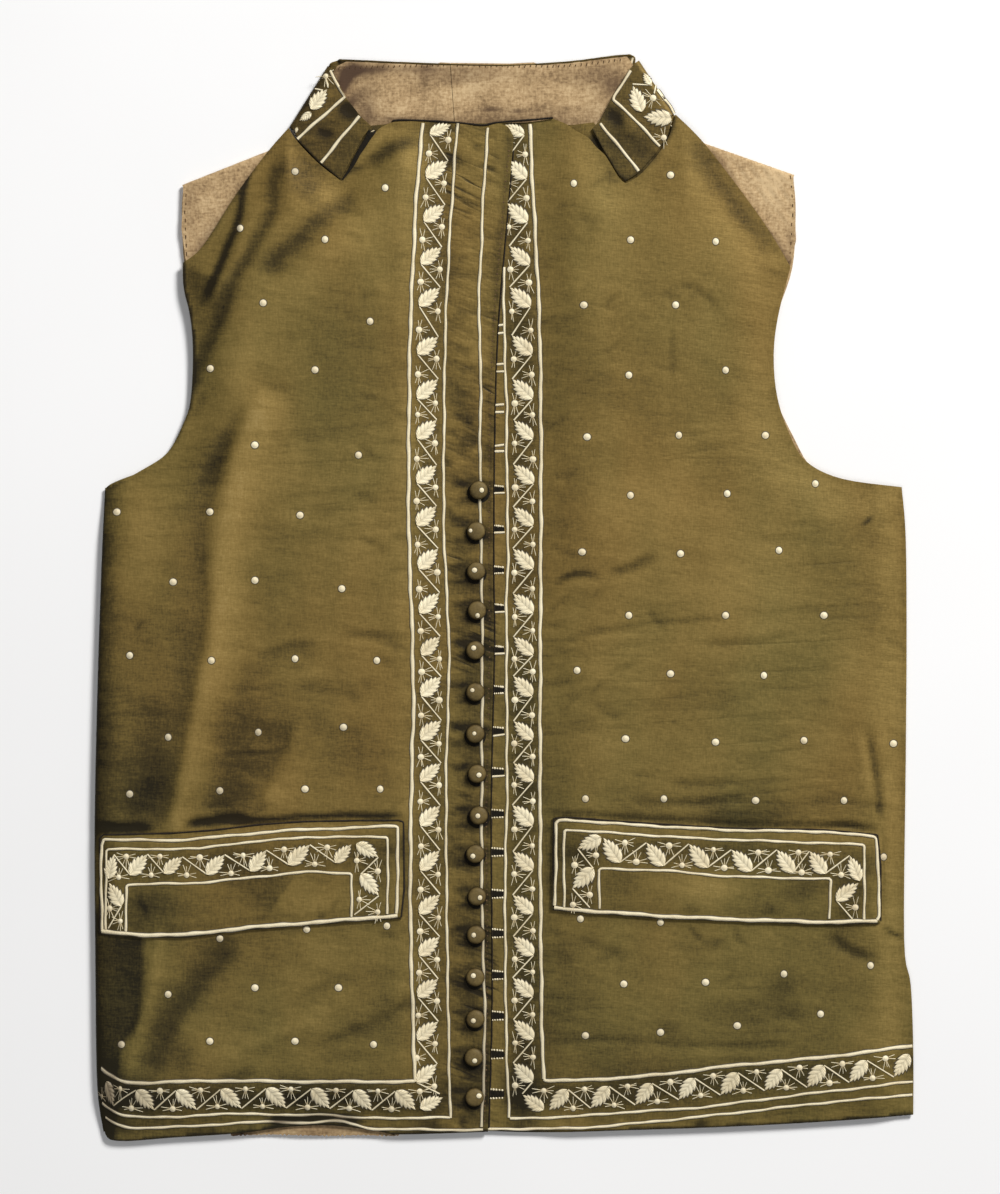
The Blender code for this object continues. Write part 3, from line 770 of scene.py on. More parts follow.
RIGHT_SIDE = ((-238.5, 0), (-242, 28), (-243, 95), (-243.5, 181), (-242, 259), (-240, 323),
              (-237.5, 386.5))
RIGHT_FRONT_RUNS = (
    ((-237.5, 386.5), (-217.5, 397), (-202, 407.5), (-193, 423.5), (-188, 439), (-186.5, 467),
     (-188, 488.5), (-192, 506.5), (-192.5, 521.5)),
    ((-192.5, 521.5), (-180.5, 531.5), (-160.5, 562.5), (-142, 587.5), (-129, 602.5)),
    ((-129, 602.5), (-124, 594.5), (-111.5, 581.5), (-97.5, 570.5)),
    ((-97.5, 570.5), (-90, 582.5), (-82, 594.5), (-74, 602.5)),
    ((-74, 602.5), (-62, 606.5), (-29, 605), (-13, 603), (-4, 605), (2.5, 603), (6, 596.5)),
    ((6, 596.5), (1, 540.5), (-4, 480.5), (-6, 416), (-6.5, 340), (-6, 291), (-8, 194),
     (-7.5, 79), (-9.5, 0)),
    ((-9.5, 0), (-38, -1), (-65, -1.5), (-77, 0.6), (-104, 3.8), (-131, 2.8), (-158, -0.8),
     (-199, -3.5), (-230, -5.5), (-238.5, 0)),
)
# Creases of the right front: the line, widths to its left and right, the rise, and the tone painted
# along it: painted shade where negative, painted light where positive.
RIGHT_FRONT_CREASES = (
    (((-150, 583), (-155, 571), (-158, 552), (-164, 535), (-174, 511), (-181, 494)),
     2.6, 2.6, -0.8, -0.9),
    (((-148, 557), (-151, 547), (-156, 535), (-161, 523), (-169, 510), (-174, 499)),
     2.4, 2.4, 0.8, 0.14),
    (((-131, 585), (-138, 571), (-139, 553), (-147, 535), (-161, 511), (-167, 497),
      (-172, 483), (-181, 463), (-189, 438)), 4, 5, -1.2, -0.48),
    (((-84, 563), (-92, 559), (-111, 547), (-124, 535), (-136, 523), (-146, 509)),
     9, 6, -1.2, -0.60),
    (((-48, 598), (-62, 592), (-74, 585), (-86, 578)), 5, 5, -1.0, -0.66),
    (((-66, 604), (-77, 593), (-83, 586), (-91, 582)), 2, 2, 0.8, 0.22),
    (((-100, 574), (-90, 577.5), (-80, 580)), 1.7, 1.9, -0.7, -0.5),
    (((-80, 540), (-98, 530), (-118, 512), (-135, 490)), 12, 12, 0.6, 0.10),
    (((-188, 530), (-187, 480), (-189, 440), (-202, 406)), 6, 14, 0, -0.18),
    (((-156, 439), (-171, 407), (-185, 380)), 6, 5, -1.2, -0.26),
    (((-175, 450), (-184, 433), (-195, 423)), 3, 3, -0.6, -0.16),
    (((-90, 497), (-80, 502), (-71, 500)), 2, 2.6, -0.4, -0.14),
    (((-69, 523), (-60, 524), (-53, 523)), 2, 2.6, -0.4, -0.14),
    (((-74, 414), (-56, 413)), 1.3, 1.5, -0.4, -0.18),
    (((-237, 425), (-239, 330), (-242, 240), (-243, 165)), 8, 40, 0, -0.30),
    (((-163, 425), (-178, 375), (-181, 349), (-180, 319), (-182, 295), (-189, 259), (-196, 223),
      (-207, 176)), 4, 14, -0.8, -0.30),
    (((-140, 448), (-155, 415), (-165.5, 379), (-170.3, 343), (-172, 319), (-174, 295),
      (-182, 259), (-189.5, 223), (-199, 174)), 15, 7, 2.2, 0.34),
    (((-207, 266), (-212, 230), (-214, 192)), 9, 9, -0.8, -0.20),
    (((-153, 284), (-136, 289.5), (-122, 291.5), (-109, 292)), 2.2, 7, -1.0, -0.27),
    (((-170, 265), (-150, 272), (-132, 280)), 8, 4, -0.5, -0.17),
    (((-170, 265), (-148, 266), (-126, 268)), 1.2, 1.3, -0.5, -0.18),
    (((-127, 268), (-104, 265), (-79, 257)), 4, 5, -0.6, -0.13),
    (((-101, 300), (-78, 297), (-55, 296)), 2.4, 3.4, -0.9, -0.26),
    (((-74, 335), (-55, 339.5)), 1.2, 1.4, -0.4, -0.18),
    (((-90, 357), (-79, 353), (-68, 346)), 1.4, 1.9, -0.6, -0.24),
    (((-66, 293), (-55, 288.5)), 1.2, 1.3, -0.4, -0.22),
    (((-178, 229), (-152, 230), (-128, 232)), 1.0, 1.0, 0.5, 0.14),
    (((-178, 226.6), (-152, 227.6), (-128, 229.6)), 1.1, 1.3, -0.4, -0.17),
    (((-159, 212), (-141, 208)), 1.0, 1.1, 0.6, 0.18),
    (((-128, 250), (-131, 233), (-142, 214), (-150, 190)), 1.8, 17, -0.9, -0.20),
    (((-123, 246), (-127, 227), (-137, 208), (-145, 192)), 13, 3, 0.9, 0.09),
    (((-223, 297), (-216, 308)), 1.4, 1.6, -0.6, -0.26),
    (((-231, 287), (-217, 283)), 1.3, 1.5, -0.4, -0.17),
    (((-183, 191), (-172, 197), (-159, 195)), 1.4, 1.8, -0.6, -0.24),
    (((-151, 190), (-141, 198)), 1.3, 1.6, -0.5, -0.22),
    (((-70, 192), (-57, 201)), 1.4, 1.7, -0.4, -0.16),
    (((-208, 128), (-210, 100), (-213, 80), (-217, 64), (-224, 46), (-227, 26)), 4, 3, 1.3, 0.06),
    (((-218, 140), (-218, 105), (-220, 79), (-224, 62), (-232, 46), (-238, -20)), 3, 40, -0.4, -0.72),
    (((-158, 118), (-176, 97), (-189, 80), (-200, 64), (-207, 48), (-212, 30)),
     7, 13, -0.8, -0.52),
    (((-180, 41), (-150, 52), (-120, 66), (-87, 85)), 5, 5, 1.1, 0.09),
    (((-118, 47), (-92, 59), (-70, 69), (-48, 85)), 4, 6, -1.4, -0.18),
    (((-173, 31), (-158, 35), (-146, 39)), 4, 6, -0.7, -0.30),
    (((-121, 39), (-95, 44), (-68, 46)), 4, 4, -0.6, -0.12),
    (((-134, 73), (-110, 86), (-86, 93)), 3.4, 4, -0.6, -0.12),
    (((-248, 114), (-190, 113), (-153, 118), (-107, 121.5), (-58, 126)), 2.4, 1.4, 0, -0.16),
    (((-58, 190), (-59, 160), (-59, 126)), 2.2, 1.4, 0, -0.28),
    (((-20, -20), (-21, 200), (-22, 400), (-19, 460)), 9, 12, 0, -0.18),
    (((-11, -20), (-9.5, 80), (-9.5, 194), (-8, 300), (-8, 416), (-6, 480), (-1.5, 545),
      (5, 615)), 2.4, 12, 0, -0.26),
    (((-258, 2), (-160, 1), (-20, 0)), 3, 9, 0, -0.14),
    (((-262, 24), (-162, 20), (-50, 19)), 12, 6, 0, -0.16),
    (((-147, 4.6), (-131.5, 7.4), (-113, 8.8), (-96, 8.3), (-79, 4.6)), 2.4, 2.4, -1.6, -1.2),
    (((-34, 425), (-25, 413.5), (-15, 413)), 1.2, 1.3, 0, -0.24),
    (((-34, 396), (-21, 386)), 1.2, 1.3, 0, -0.24),
    (((-34, 452), (-24, 444), (-16, 443)), 1.2, 1.3, 0, -0.16),
    (((-33, 474), (-18, 468)), 1.2, 1.3, 0, -0.14),
    (((-32, 350), (-18, 348)), 1.2, 1.3, 0, -0.22),
    (((-34, 332), (-22, 329), (-12, 331)), 1.2, 1.3, 0, -0.22),
)
# The silk between the cords of the bands, painted darker.
RIGHT_GROUND = (
    (((-44, -20), (-45, 200), (-46, 400), (-39, 625)), 10, 10, 0, -0.46),
    (((-262, 29), (-226, 20), (-162, 20), (-20, 19)), 10, 6, 0, -0.36),
)
# The mouth of the pocket, above the welt: a dip, darkened with painted shade.
RIGHT_MOUTH = (
    (((-250, 181.5), (-236, 183), (-220, 182.5), (-206, 180)), 3, 3.4, -2.4, -1.1),
    (((-196, 181), (-184, 185), (-166, 188), (-148, 187)), 3.2, 3.4, -2.2, -1.1),
    (((-170, 185.5), (-140, 188), (-110, 189.5), (-58, 190)), 1.5, 2.4, -1.2, -0.8),
)
# Soft patches of painted light and painted shade: middle, reach along and across, turn, strength.
RIGHT_FRONT_TONES = (
    (-152, 468, 38, 13, 72, 0.12), (-102, 466, 44, 14, 90, -0.08), (-211, 358, 30, 11, 84, 0.10),
    (-117, 275, 11, 4, 12, 0.14), (-158, 243, 22, 9, 0, -0.08), (-164, 206, 17, 14, 0, -0.12),
    (-100, 214, 30, 16, 0, 0.08), (-192, 46, 8, 9, 0, -0.22), (-110, 67, 14, 6, 20, 0.12),
    (-76, 535, 20, 22, 0, 0.06), (-120, 90, 30, 14, 30, 0.07), (-80, 110, 18, 12, 0, 0.04),
    (-70, 340, 14, 40, 0, 0.04), (-130, 330, 22, 30, 0, -0.04), (-190, 420, 16, 10, 60, 0.06),
    (-210, 290, 22, 60, 0, -0.12), (-90, 240, 12, 8, 0, -0.08), (-226, 210, 10, 16, 0, -0.08),
    (-110, 70, 100, 46, 0, -0.05), (-120, 230, 60, 30, 0, -0.12), (-188, 512, 18, 30, 0, -0.10),
    (-168, 200, 24, 10, 4, -0.24), (-222, 212, 18, 40, 0, -0.12), (-222, 22, 20, 18, 0, -0.30),
    (-110, 30, 20, 16, 0, -0.10), (-14, 30, 14, 20, 0, -0.22), (-166, 222, 15, 12, 0, -0.20),
    (-160, 252, 20, 20, 0, -0.23), (-218, 250, 18, 30, 0, -0.08), (-160, 462, 14, 18, 0, 0.10),
    (-120, 577, 18, 13, -40, -0.34), (-86, 222, 20, 12, 0, -0.14),
    (-188, 205, 12, 20, 0, -0.11), (-220, 197, 14, 9, 0, -0.24), (-140, 204, 12, 8, 0, 0.20),
    (-117, 563, 11, 8, -50, -0.24), (-206, 212, 10, 16, 0, -0.08),
)

RIGHT_FINE = (
    (5, 24, (-225, 200, -60, 560), (-14, 26), 0.07),
    (6, 14, (-215, 45, -60, 115), (24, 30), 0.07),
    (10, 30, (-92, 60, -56, 575), (-12, 14), 0.20, (10, 28)),
    (11, 60, (-32, 190, -10, 600), (-18, 14), 0.32, (8, 20)),
    (12, 20, (-235, 0, -20, 7), (90, 24), 0.22, (7, 13)),
)
BUTTONS = range(1, 17)

right_side = np.array(curve_through(RIGHT_SIDE, 5))
roll_half = ROLL_WIDTH + ROLL_SLACK


def side_line(up):
    """Where the right front's side runs."""
    return np.interp(up, right_side[:, 1], right_side[:, 0])


def right_front_level(points, outline):
    """Height of the middle of the right front's wall, but for its rolled side."""
    return FRONT_LEVEL + swell(points, outline, RIGHT_SWELL, RIGHT_LOOSENS, RIGHT_FRONT_CREASES)


def roll_side(points, level):
    """Take the side of the right front round its roll and flat beneath."""
    side = side_line(points[:, 1])
    beyond = side - points[:, 0]
    rolled = beyond > -ROLL_WIDTH
    top_half = (level - BACK_LEVEL) / 2
    turn = math.pi / 2 * (beyond + ROLL_WIDTH) / roll_half
    over = turn > math.pi / 2
    turn = np.where(over, math.pi / 2 + (beyond + ROLL_WIDTH - roll_half) / ROLL_UNDER, turn)
    reach = np.where(over, ROLL_UNDER, ROLL_WIDTH + SIDE_BEND)
    across = side - SIDE_BEND + reach * (1 - np.sin(np.minimum(turn, math.pi)))
    flat = side - SIDE_BEND + ROLL_UNDER + (turn - math.pi) * ROLL_UNDER
    across = np.where(turn > math.pi, flat, across)
    new_level = BACK_LEVEL + top_half + top_half * np.cos(np.minimum(turn, math.pi))
    points = np.stack([np.where(rolled, across, points[:, 0]), points[:, 1]], 1)
    return points, np.where(rolled, new_level, level)


def middle_and_box(name):
    """The middle of a plain solid in the tables' terms, and its box in metres."""
    low, high = (np.array(corner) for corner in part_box(name))
    return (low + high)[:2] / 2 / MM + (0, HEM_TO_MIDDLE), low, high


# Unrolled, the side reaches out by what lies under it, to an inner edge that runs straight;
# the cloth swells as if it ran on beyond its side.
round_half = roll_half - ROLL_WIDTH + ROLL_UNDER * math.pi / 2
unrolled = [(across - round_half - (INNER_EDGE - (across - SIDE_BEND + ROLL_UNDER)), up)
            for across, up in right_side]
front_outline = outline_of(RIGHT_FRONT_RUNS)
right_outline = np.array([*unrolled, *front_outline, RIGHT_SIDE[0]], float)
loose_outline = np.array([(-320, -5), (-320, 386.5), *front_outline], float)
for row in RIGHT_FINE:
    RIGHT_FRONT_CREASES += small_creases(*row)
# Painted shade round the foot of each button, and dark lines of painted shade above and below it
# where the silk is drawn in.
for number in BUTTONS:
    (across, up), _, _ = middle_and_box(f"button_{number:02d}")
    RIGHT_FRONT_TONES += ((across - 0.6, up - 1.2, 7.4, 7.4, 0, -0.40),)
    RIGHT_FRONT_CREASES += (
        (((across - 3, up + 5.6), (across - 9, up + 3.4), (across - 17, up + 5)),
         SHARPEST, SHARPEST, 0, -0.5),
        (((across - 3, up - 5.4), (across - 10, up - 6), (across - 15, up - 4)),
         SHARPEST, SHARPEST, 0, -0.3))
points, faces = cut_cloth(right_outline, ((-266, -226, 0.9), (8, 2)), ((-8, 616, 2),))
level = right_front_level(points, loose_outline) + creases(points, RIGHT_MOUTH, 0)
points, level = roll_side(points, level)
right_front = add_cloth("right_front_silk", points, level, faces, SILK_WALL, silk)
add_silk_tone(right_front, loose_outline, RIGHT_FRONT_CREASES + RIGHT_GROUND + RIGHT_MOUTH,
              RIGHT_FRONT_TONES)
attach(right_front, "root")
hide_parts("right_front")

# ----------------------------------------
# The right front's lining, where its frayed lower edge hangs below the hem.

LINING_WALL = 0.9
HEM_LINING_LEVEL = 2.0
HEM_LINING = ((-163, 14), (-65, 14), (-61, -1.6), (-65, -2.9), (-84, -2.2), (-104, -2.8),
              (-122, -2.3), (-140, -1.9), (-158, -2.4), (-164, -3.0))
HEM_STAINS = ((-160, -2, 9, 3, 0, 0.9), (-110, 0, 34, 3, 0, 0.35))
FRAYED_BELOW = (2, -3)
FRAY_LENGTH = 0.7
FRAY_DROOP = 0.35

points, faces = cut_cloth(HEM_LINING, ((-165, -60, 1.2),), ((-4, 15, 1.2),))
frayed = ramp(points[:, 1], *FRAYED_BELOW)
points[:, 1] += frayed * FRAY_LENGTH * np.sin(points[:, 0] * 2.9) * np.sin(points[:, 0] * 0.37)
level = HEM_LINING_LEVEL + waves(points[:, 0], (0.25, 7, 0)) - FRAY_DROOP * frayed
hem_lining = add_cloth("right_front_hem_lining", points, level, faces, LINING_WALL, linen)
add_tone(hem_lining, "stain", smudges(coordinates_of(hem_lining)[0], HEM_STAINS))
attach(hem_lining, "root")
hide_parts("right_front_lining")

# ----------------------------------------
# The standing collar, pressed flat: one strip of silk whose two ends are folded
# forward, and inside its back part two lengths of linen that meet at a seam.

COLLAR_END_LEVEL = FRONT_LEVEL + NECK_RAISE
COLLAR_BEND = (COLLAR_END_LEVEL - BACK_LEVEL) / 2
# The rounded upper edge between the ends: how high, how wide, from where to where.
RIM_HEIGHT, RIM_WIDTH = 1.5, 2.2
RIM_ENDS = (-99, 76)
# The collar is duller than the fronts, and a little more so on its right.
COLLAR_DULL, RIGHT_DULL = 0.22, 0.06
COLLAR_RIGHT = ((-126.5, 601.5), (-103.5, 638.2), COLLAR_BEND,
                ((-123.5, 595), (-111, 582), (-98, 571.5), (-85, 596), (-79.5, 603.5),
                 (-85.5, 609), (-95, 621)))
COLLAR_LEFT = ((79, 641.5), (100, 609.5), COLLAR_BEND,
               ((75.2, 637.3), (64.7, 620.4), (57.6, 606.6), (53, 602), (60, 589), (68.5, 575),
                (73, 570.5), (81, 575.5), (91, 587), (98, 597.5), (101, 607)))
COLLAR_RUNS = (
    "right_end",
    ((-103.5, 638.2), (-105.2, 640), (-104, 642), (-100, 643.5), (-95, 644), (-62, 642.5),
     (-32, 641.5), (4, 641), (40, 643), (75, 647),
     (79, 641.5)),
    "left_end",
    ((100, 609.5), (94, 603.5), (-14, 603.5), (-126.5, 601.5)),
)
# Creases of the collar's ends: the line, widths to its left and right, the rise, and painted shade
# where the tone is negative, painted light where positive.
COLLAR_CREASES = (
    (((-87, 608), (-93, 612.5), (-99, 617)), 4.5, 4.5, -0.8, -0.85),
    (((-113, 604), (-108, 600), (-100, 597)), 2.4, 3.6, -0.6, -0.55),
    (((59, 615), (66, 609), (73, 601)), 4.5, 4.5, -0.8, -0.55),
    (((70, 603), (79, 594), (90, 584)), 5, 4, -0.4, -0.20),
    (((-118, 604), (-108, 617), (-99, 633)), 4, 5, 0.7, 0.08),
    (((-127, 598), (-113, 583), (-97, 570)), 1.6, 2.4, 0, -0.30),
    (((66, 617), (76, 602), (85, 586)), 4, 4, 0.6, 0.08),
    (((85, 623), (92, 613), (98, 604)), 4, 5, 0.6, 0.06),
    (((73, 601), (67, 594), (61, 588)), 3, 3, -0.4, -0.14),
    (((67, 573), (75, 570), (84, 577), (94, 588), (102, 606)), 1.6, 2.4, 0, -0.26),
    (((-128, 603), (-116, 621), (-102, 641)), 3, 3, 0, -0.16),
)
COLLAR_LININGS = {
    "right": ((-123, 603.5), (-100, 640), (-94.5, 642.7), (-62, 641.3), (-42, 640.8),
              (-38, 642.2), (-32.35, 641.9), (-29.65, 604.5)),
    "left": ((-32.05, 641.9), (4, 641.5), (18, 642.2), (21, 641), (40, 641.9), (74, 645.8),
             (77.5, 641), (97, 609.5), (92, 604.8), (-29.35, 604.5)),
}
# Age stains and painted shade on the collar's linen: dark lines along its top and lower edges, under
# the folded ends and beside its seam, and one patch painted lighter: middle, reach, turn, strength.
COLLAR_STAINS_AND_SHADE = (
    (-24, 634, 30, 4, 0, 0.30), (-98, 627, 14, 4, 58, 1.8), (-88, 637, 14, 4, 6, 0.8),
    (-92, 618, 6, 4, 60, 0.8),
    (-84, 622, 10, 7, 40, 0.35), (-46, 634, 9, 5, 80, 0.35), (-30, 630, 5, 8, 90, 0.3),
    (-60, 638, 50, 2.4, 0, 0.5), (-26, 622, 6, 9, 90, -0.4), (-64, 607, 34, 3, 0, 0.5),
    (-82, 612, 6, 5, 0, 0.5), (20, 606.5, 60, 3, 0, 0.4), (-8, 614, 5, 1.2, 0, 0.9),
    (8, 613, 3, 1, 0, 0.8),
    (66, 628, 14, 9, -50, 0.55), (20, 612, 46, 4, 0, 0.25), (44, 634, 22, 6, 0, 0.22),
)

collar_folds = {"right_end": COLLAR_RIGHT, "left_end": COLLAR_LEFT}
collar_outline = outline_of(COLLAR_RUNS, collar_folds)
points, faces = cut_cloth(collar_outline, ((-175, 150, 1.0),), ((590, 700, 1.0),))
top_edge = np.array(curve_through(COLLAR_RUNS[1], 5))
top_gap = np.interp(points[:, 0], top_edge[:, 0], top_edge[:, 1]) - points[:, 1]
between = (points[:, 0] > RIM_ENDS[0]) & (points[:, 0] < RIM_ENDS[1])
level = BACK_LEVEL + np.where(between, RIM_HEIGHT * np.exp(-(top_gap / RIM_WIDTH) ** 2), 0.0)
for fold in collar_folds.values():
    points, level = fold_over(points, level, fold)
# Only the ends, folded forward, lie open to the air and are creased.
level += np.where(level > COLLAR_END_LEVEL - 0.4, creases(points, COLLAR_CREASES, 0), 0.0)
collar = add_cloth("collar_silk", points, level, faces[:, ::-1], SILK_WALL, silk)
spots, heights = coordinates_of(collar)
add_tone(collar, "tone",
         slope_light_and_shade(collar, strength=0.5) - COLLAR_DULL - RIGHT_DULL * (spots[:, 0] < 0)
         + creases(spots, COLLAR_CREASES, 1) * (heights > COLLAR_END_LEVEL - 2))
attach(collar, "root")
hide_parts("collar")

# ----------------------------------------
# Turned-in edges of silk in the open corners between the collar's ends and
# the fronts, darkened with painted shade.

SEAM_WALL = 0.7
NECK_SEAM_LEVEL = 3.3
NECK_SEAMS = {
    "right": ((-99, 568), (-112, 579), (-125, 593), (-121, 599), (-99, 580), (-88, 603),
              (-70, 605), (-76, 593), (-84, 581), (-91, 570)),
    "left": ((38, 604), (54, 606), (64, 592), (73, 577), (87, 590), (101, 611), (105, 609),
             (98, 594), (86, 574), (72, 566), (58, 578), (46, 591)),
}
SEAM_SHADE_TONES = {"right": 0.22, "left": 0.40}
# Dark creases on them: the line, widths to its left and right, the rise, the painted shade.
NECK_SEAM_CREASES = (
    (((50, 599), (56, 594.5), (63, 586)), 2.6, 3.2, 0, -0.9),
    (((-74, 604), (-80, 596), (-86, 588)), 2.6, 2.6, 0, -0.6),
    (((-129, 601), (-112, 584), (-98, 571)), 3, 3, 0, -0.5),
    (((72, 569), (86, 577), (98, 594), (104, 610)), 3, 3, 0, -0.5),
)
for side, edge in NECK_SEAMS.items():
    points, faces = cut_cloth(edge, ((-132, 106, 1.2),), ((564, 612, 1.2),))
    level = NECK_SEAM_LEVEL + 0.2 * np.sin(points[:, 0] / 3) * np.sin(points[:, 1] / 4)
    seam = add_cloth(f"neck_seam_{side}", points, level, faces, SEAM_WALL, silk)
    add_tone(seam, "tone", SEAM_SHADE_TONES[side] + creases(coordinates_of(seam)[0], NECK_SEAM_CREASES, 1))
    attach(seam, "root")

# ----------------------------------------
# The two lengths of linen inside the collar.

COLLAR_LINING_LEVEL = 1.9
LINING_SWELL = 0.35

collar_linings = []
for side, edge in COLLAR_LININGS.items():
    points, faces = cut_cloth(edge, ((-126, 100, 1.3),), ((602, 647, 1.3),))
    inside = ramp(nearest_on_edge(points, edge)[0], 0, 6)
    wave = np.sin(points[:, 0] / 11 + 1) + 0.7 * np.sin(points[:, 0] / 5.3 + points[:, 1] / 8)
    level = COLLAR_LINING_LEVEL + inside * (LINING_SWELL + 0.22 * wave)
    lining = add_cloth(f"collar_linen_{side}", points, level, faces, LINING_WALL, linen)
    collar_linings.append(lining)
    add_tone(lining, "stain", smudges(coordinates_of(lining)[0], COLLAR_STAINS_AND_SHADE))
    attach(lining, "root")
    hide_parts("collar_lining_" + side)

# ----------------------------------------
# The pocket welts: doubled silk, sewn on the fronts at their ends and lower
# edge.  Their upper edges stand a little open over the mouths of the pockets.

WELT_WALL = 1.0
WELT_CLEARANCE = 1.7
WELT_LIFT = 0.5
RIGHT_WELT = ((-242.3, 177), (-240, 179), (-199, 180), (-172.6, 181.9), (-146, 185.2),
              (-120, 187), (-86, 187.6), (-62.3, 187.6), (-59.6, 186.4), (-59.2, 146),
              (-61, 128.6), (-107, 125), (-153.5, 121.5), (-190, 117), (-217.5, 117), (-242, 119))
LEFT_WELT = ((29.5, 188.5), (37.5, 189.5), (76.5, 186.5), (134, 183), (191.5, 182), (224.5, 179),
             (226.5, 160), (226.5, 126.5), (224, 125), (191.5, 124.5), (134, 126.5), (95.5, 128),
             (28.5, 133))
# Painted shade on both welts: dark lines and bands with no rise along their edges and ends (line,
# widths to left and right, rise, tone), and soft patches of painted light and shade.
RIGHT_WELT_CREASES = (
    (((-124, 157), (-134, 142), (-146, 126)), 1.6, 34, 0, -0.36),
    (((-105, 131), (-101, 137), (-97, 143)), 1.3, 1.5, 0, -0.22),
    (((-113, 128), (-103, 135)), 1.3, 1.5, 0, -0.18),
    (((-223, 147), (-215, 136), (-211, 125)), 1.5, 2, 0, -0.24),
    (((-260, 160), (-200, 162), (-140, 165), (-50, 171)), 10, 11, 0, -0.34),
    (((-80, 100), (-80, 155), (-78, 172)), 9, 9, 0, -0.26),
    (((-233, 110), (-232, 150)), 7, 7, 0, -0.28),
)
RIGHT_WELT_TONES = ((-196, 134, 30, 14, 0, -0.20), (-216, 135, 12, 14, 0, -0.24),
                    (-109, 140, 22, 9, 0, 0.06))
LEFT_WELT_CREASES = (
    (((116, 189), (119, 180)), 1.2, 1.4, 0, -0.22),
    (((20, 170), (110, 168), (180, 162), (240, 160)), 11, 10, 0, -0.34),
    (((45, 110), (46, 150), (47, 175)), 9, 9, 0, -0.26),
    (((206, 110), (206, 140), (207, 160)), 9, 9, 0, -0.26),
)
LEFT_WELT_TONES = ((70, 150, 12, 9, 0, -0.14), (122, 147, 20, 9, 0, 0.24),
                   (113, 135, 6, 3, 0, -0.16), (160, 134, 7, 3.4, 0, -0.18),
                   (178, 146, 12, 7, 0, -0.18), (125, 141, 80, 12, 0, -0.08),
                   (214, 142, 16, 16, 0, -0.16))


def add_welt(name, outline, level_at, front_outline, creased, patches):
    """A welt on a front: it follows the cloth below and rises a little from its edges."""
    ends = sorted(across for across, _ in outline)
    points, faces = cut_cloth(outline, ((ends[0], ends[-1], 1.5),), ((112, 192, 1.5),))
    level = level_at(points, front_outline) + WELT_CLEARANCE
    level += WELT_LIFT * ramp(nearest_on_edge(points, outline)[0], 0, 9)
    level += creases(points, creased, 0)
    welt = add_cloth(name, points, level, faces, WELT_WALL, silk)
    add_silk_tone(welt, outline, creased, patches)
    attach(welt, "root")
    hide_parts(name.replace("_silk", ""))
    return welt


def rolled_front_level(points, outline):
    """The right front's level where its side rolls away under the end of the welt."""
    beyond = side_line(points[:, 1]) - points[:, 0]
    level = right_front_level(points, outline)
    half = (level - BACK_LEVEL) / 2
    turn = np.clip(math.pi / 2 * (beyond + ROLL_WIDTH) / roll_half, 0, math.pi / 2)
    return BACK_LEVEL + half + half * np.cos(turn)


right_welt = add_welt("right_pocket_welt_silk", RIGHT_WELT, rolled_front_level, loose_outline,
                      RIGHT_WELT_CREASES, RIGHT_WELT_TONES)
left_welt = add_welt("left_pocket_welt_silk", LEFT_WELT, left_front_level, left_outline,
                     LEFT_WELT_CREASES, LEFT_WELT_TONES)

# ----------------------------------------
# The embroidery: cream silk worked on every silk piece.  Couched cords edge a
# band of leaves, slanting stems and rayed berries, and small round spots are
# sprinkled over the fronts.  Each piece's stitches are one joined mesh.

CORD_HEIGHT = 0.75
OUTER_CORD, INNER_CORD, THIRD_CORD = 2.0, 1.55, 1.6
STEM_WIDTH = 0.85
BERRY_RADIUS = 1.7
SPOT_RADIUS = 1.95
STITCH_SHARP = math.radians(60)
# How far from a band's middle the feet of its leaves and its berries lie.
BAND_HALF = 5.6
# Where the end of the right hem's band turns away, and how far it is drawn together there.
BAND_TURNS, SQUEEZE = (-222, 42), 34.0
# How much of the cloth's painted shade is painted on the stitches as well.
GLOOM = 1.2

# A leaf from its base (0) to its tip (1): place along, half width, where its stitch starts, and how
# far it is a sunk vein with painted shade.
LEAF_EDGE = (
    (0.00, 0.02, 0.00, 0.0), (0.05, 0.12, 0.02, 0.0), (0.14, 0.215, 0.06, 0.0),
    (0.27, 0.265, 0.12, 0.0), (0.38, 0.305, 0.17, 0.2), (0.36, 0.225, 0.21, 1.0),
    (0.47, 0.265, 0.27, 0.2), (0.575, 0.285, 0.33, 0.2), (0.55, 0.200, 0.37, 1.0),
    (0.65, 0.215, 0.43, 0.2), (0.735, 0.220, 0.49, 0.2), (0.71, 0.135, 0.53, 1.0),
    (0.79, 0.140, 0.60, 0.2), (0.86, 0.125, 0.66, 0.2), (0.835, 0.060, 0.71, 1.0),
    (0.91, 0.050, 0.82, 0.2), (1.00, 0.00, 0.94, 0.0),
)
# Across a leaf from its midrib: part of its half width, height, how far it is in shade.
LEAF_SECTION = ((0.0, 0.42, 0.20), (0.40, 0.82, 0.0), (0.86, 0.62, 0.0), (1.0, 0.10, 0.4),
                (1.17, 0.03, 1.0))
# Where leaves start up the front bands, and along the hems, in order of growth.
FRONT_LEAVES = (30.2, 55.7, 81.3, 106.1, 131.2, 157.2, 184, 210.7, 235.6, 261.8, 286.4, 311.6,
                338.2, 364.1, 389.4, 415.9, 440, 466.6, 495.2, 520.4, 545.9, 572.1, 598.3)
RIGHT_HEM_LEAVES = (-245.8, -220.2, -195.9, -169.2, -142, -115, -89.9, -64.7)
LEFT_HEM_LEAVES = (244, 218, 192.2, 166.4, 140.6, 114.8, 89, 63.2, 38.6)
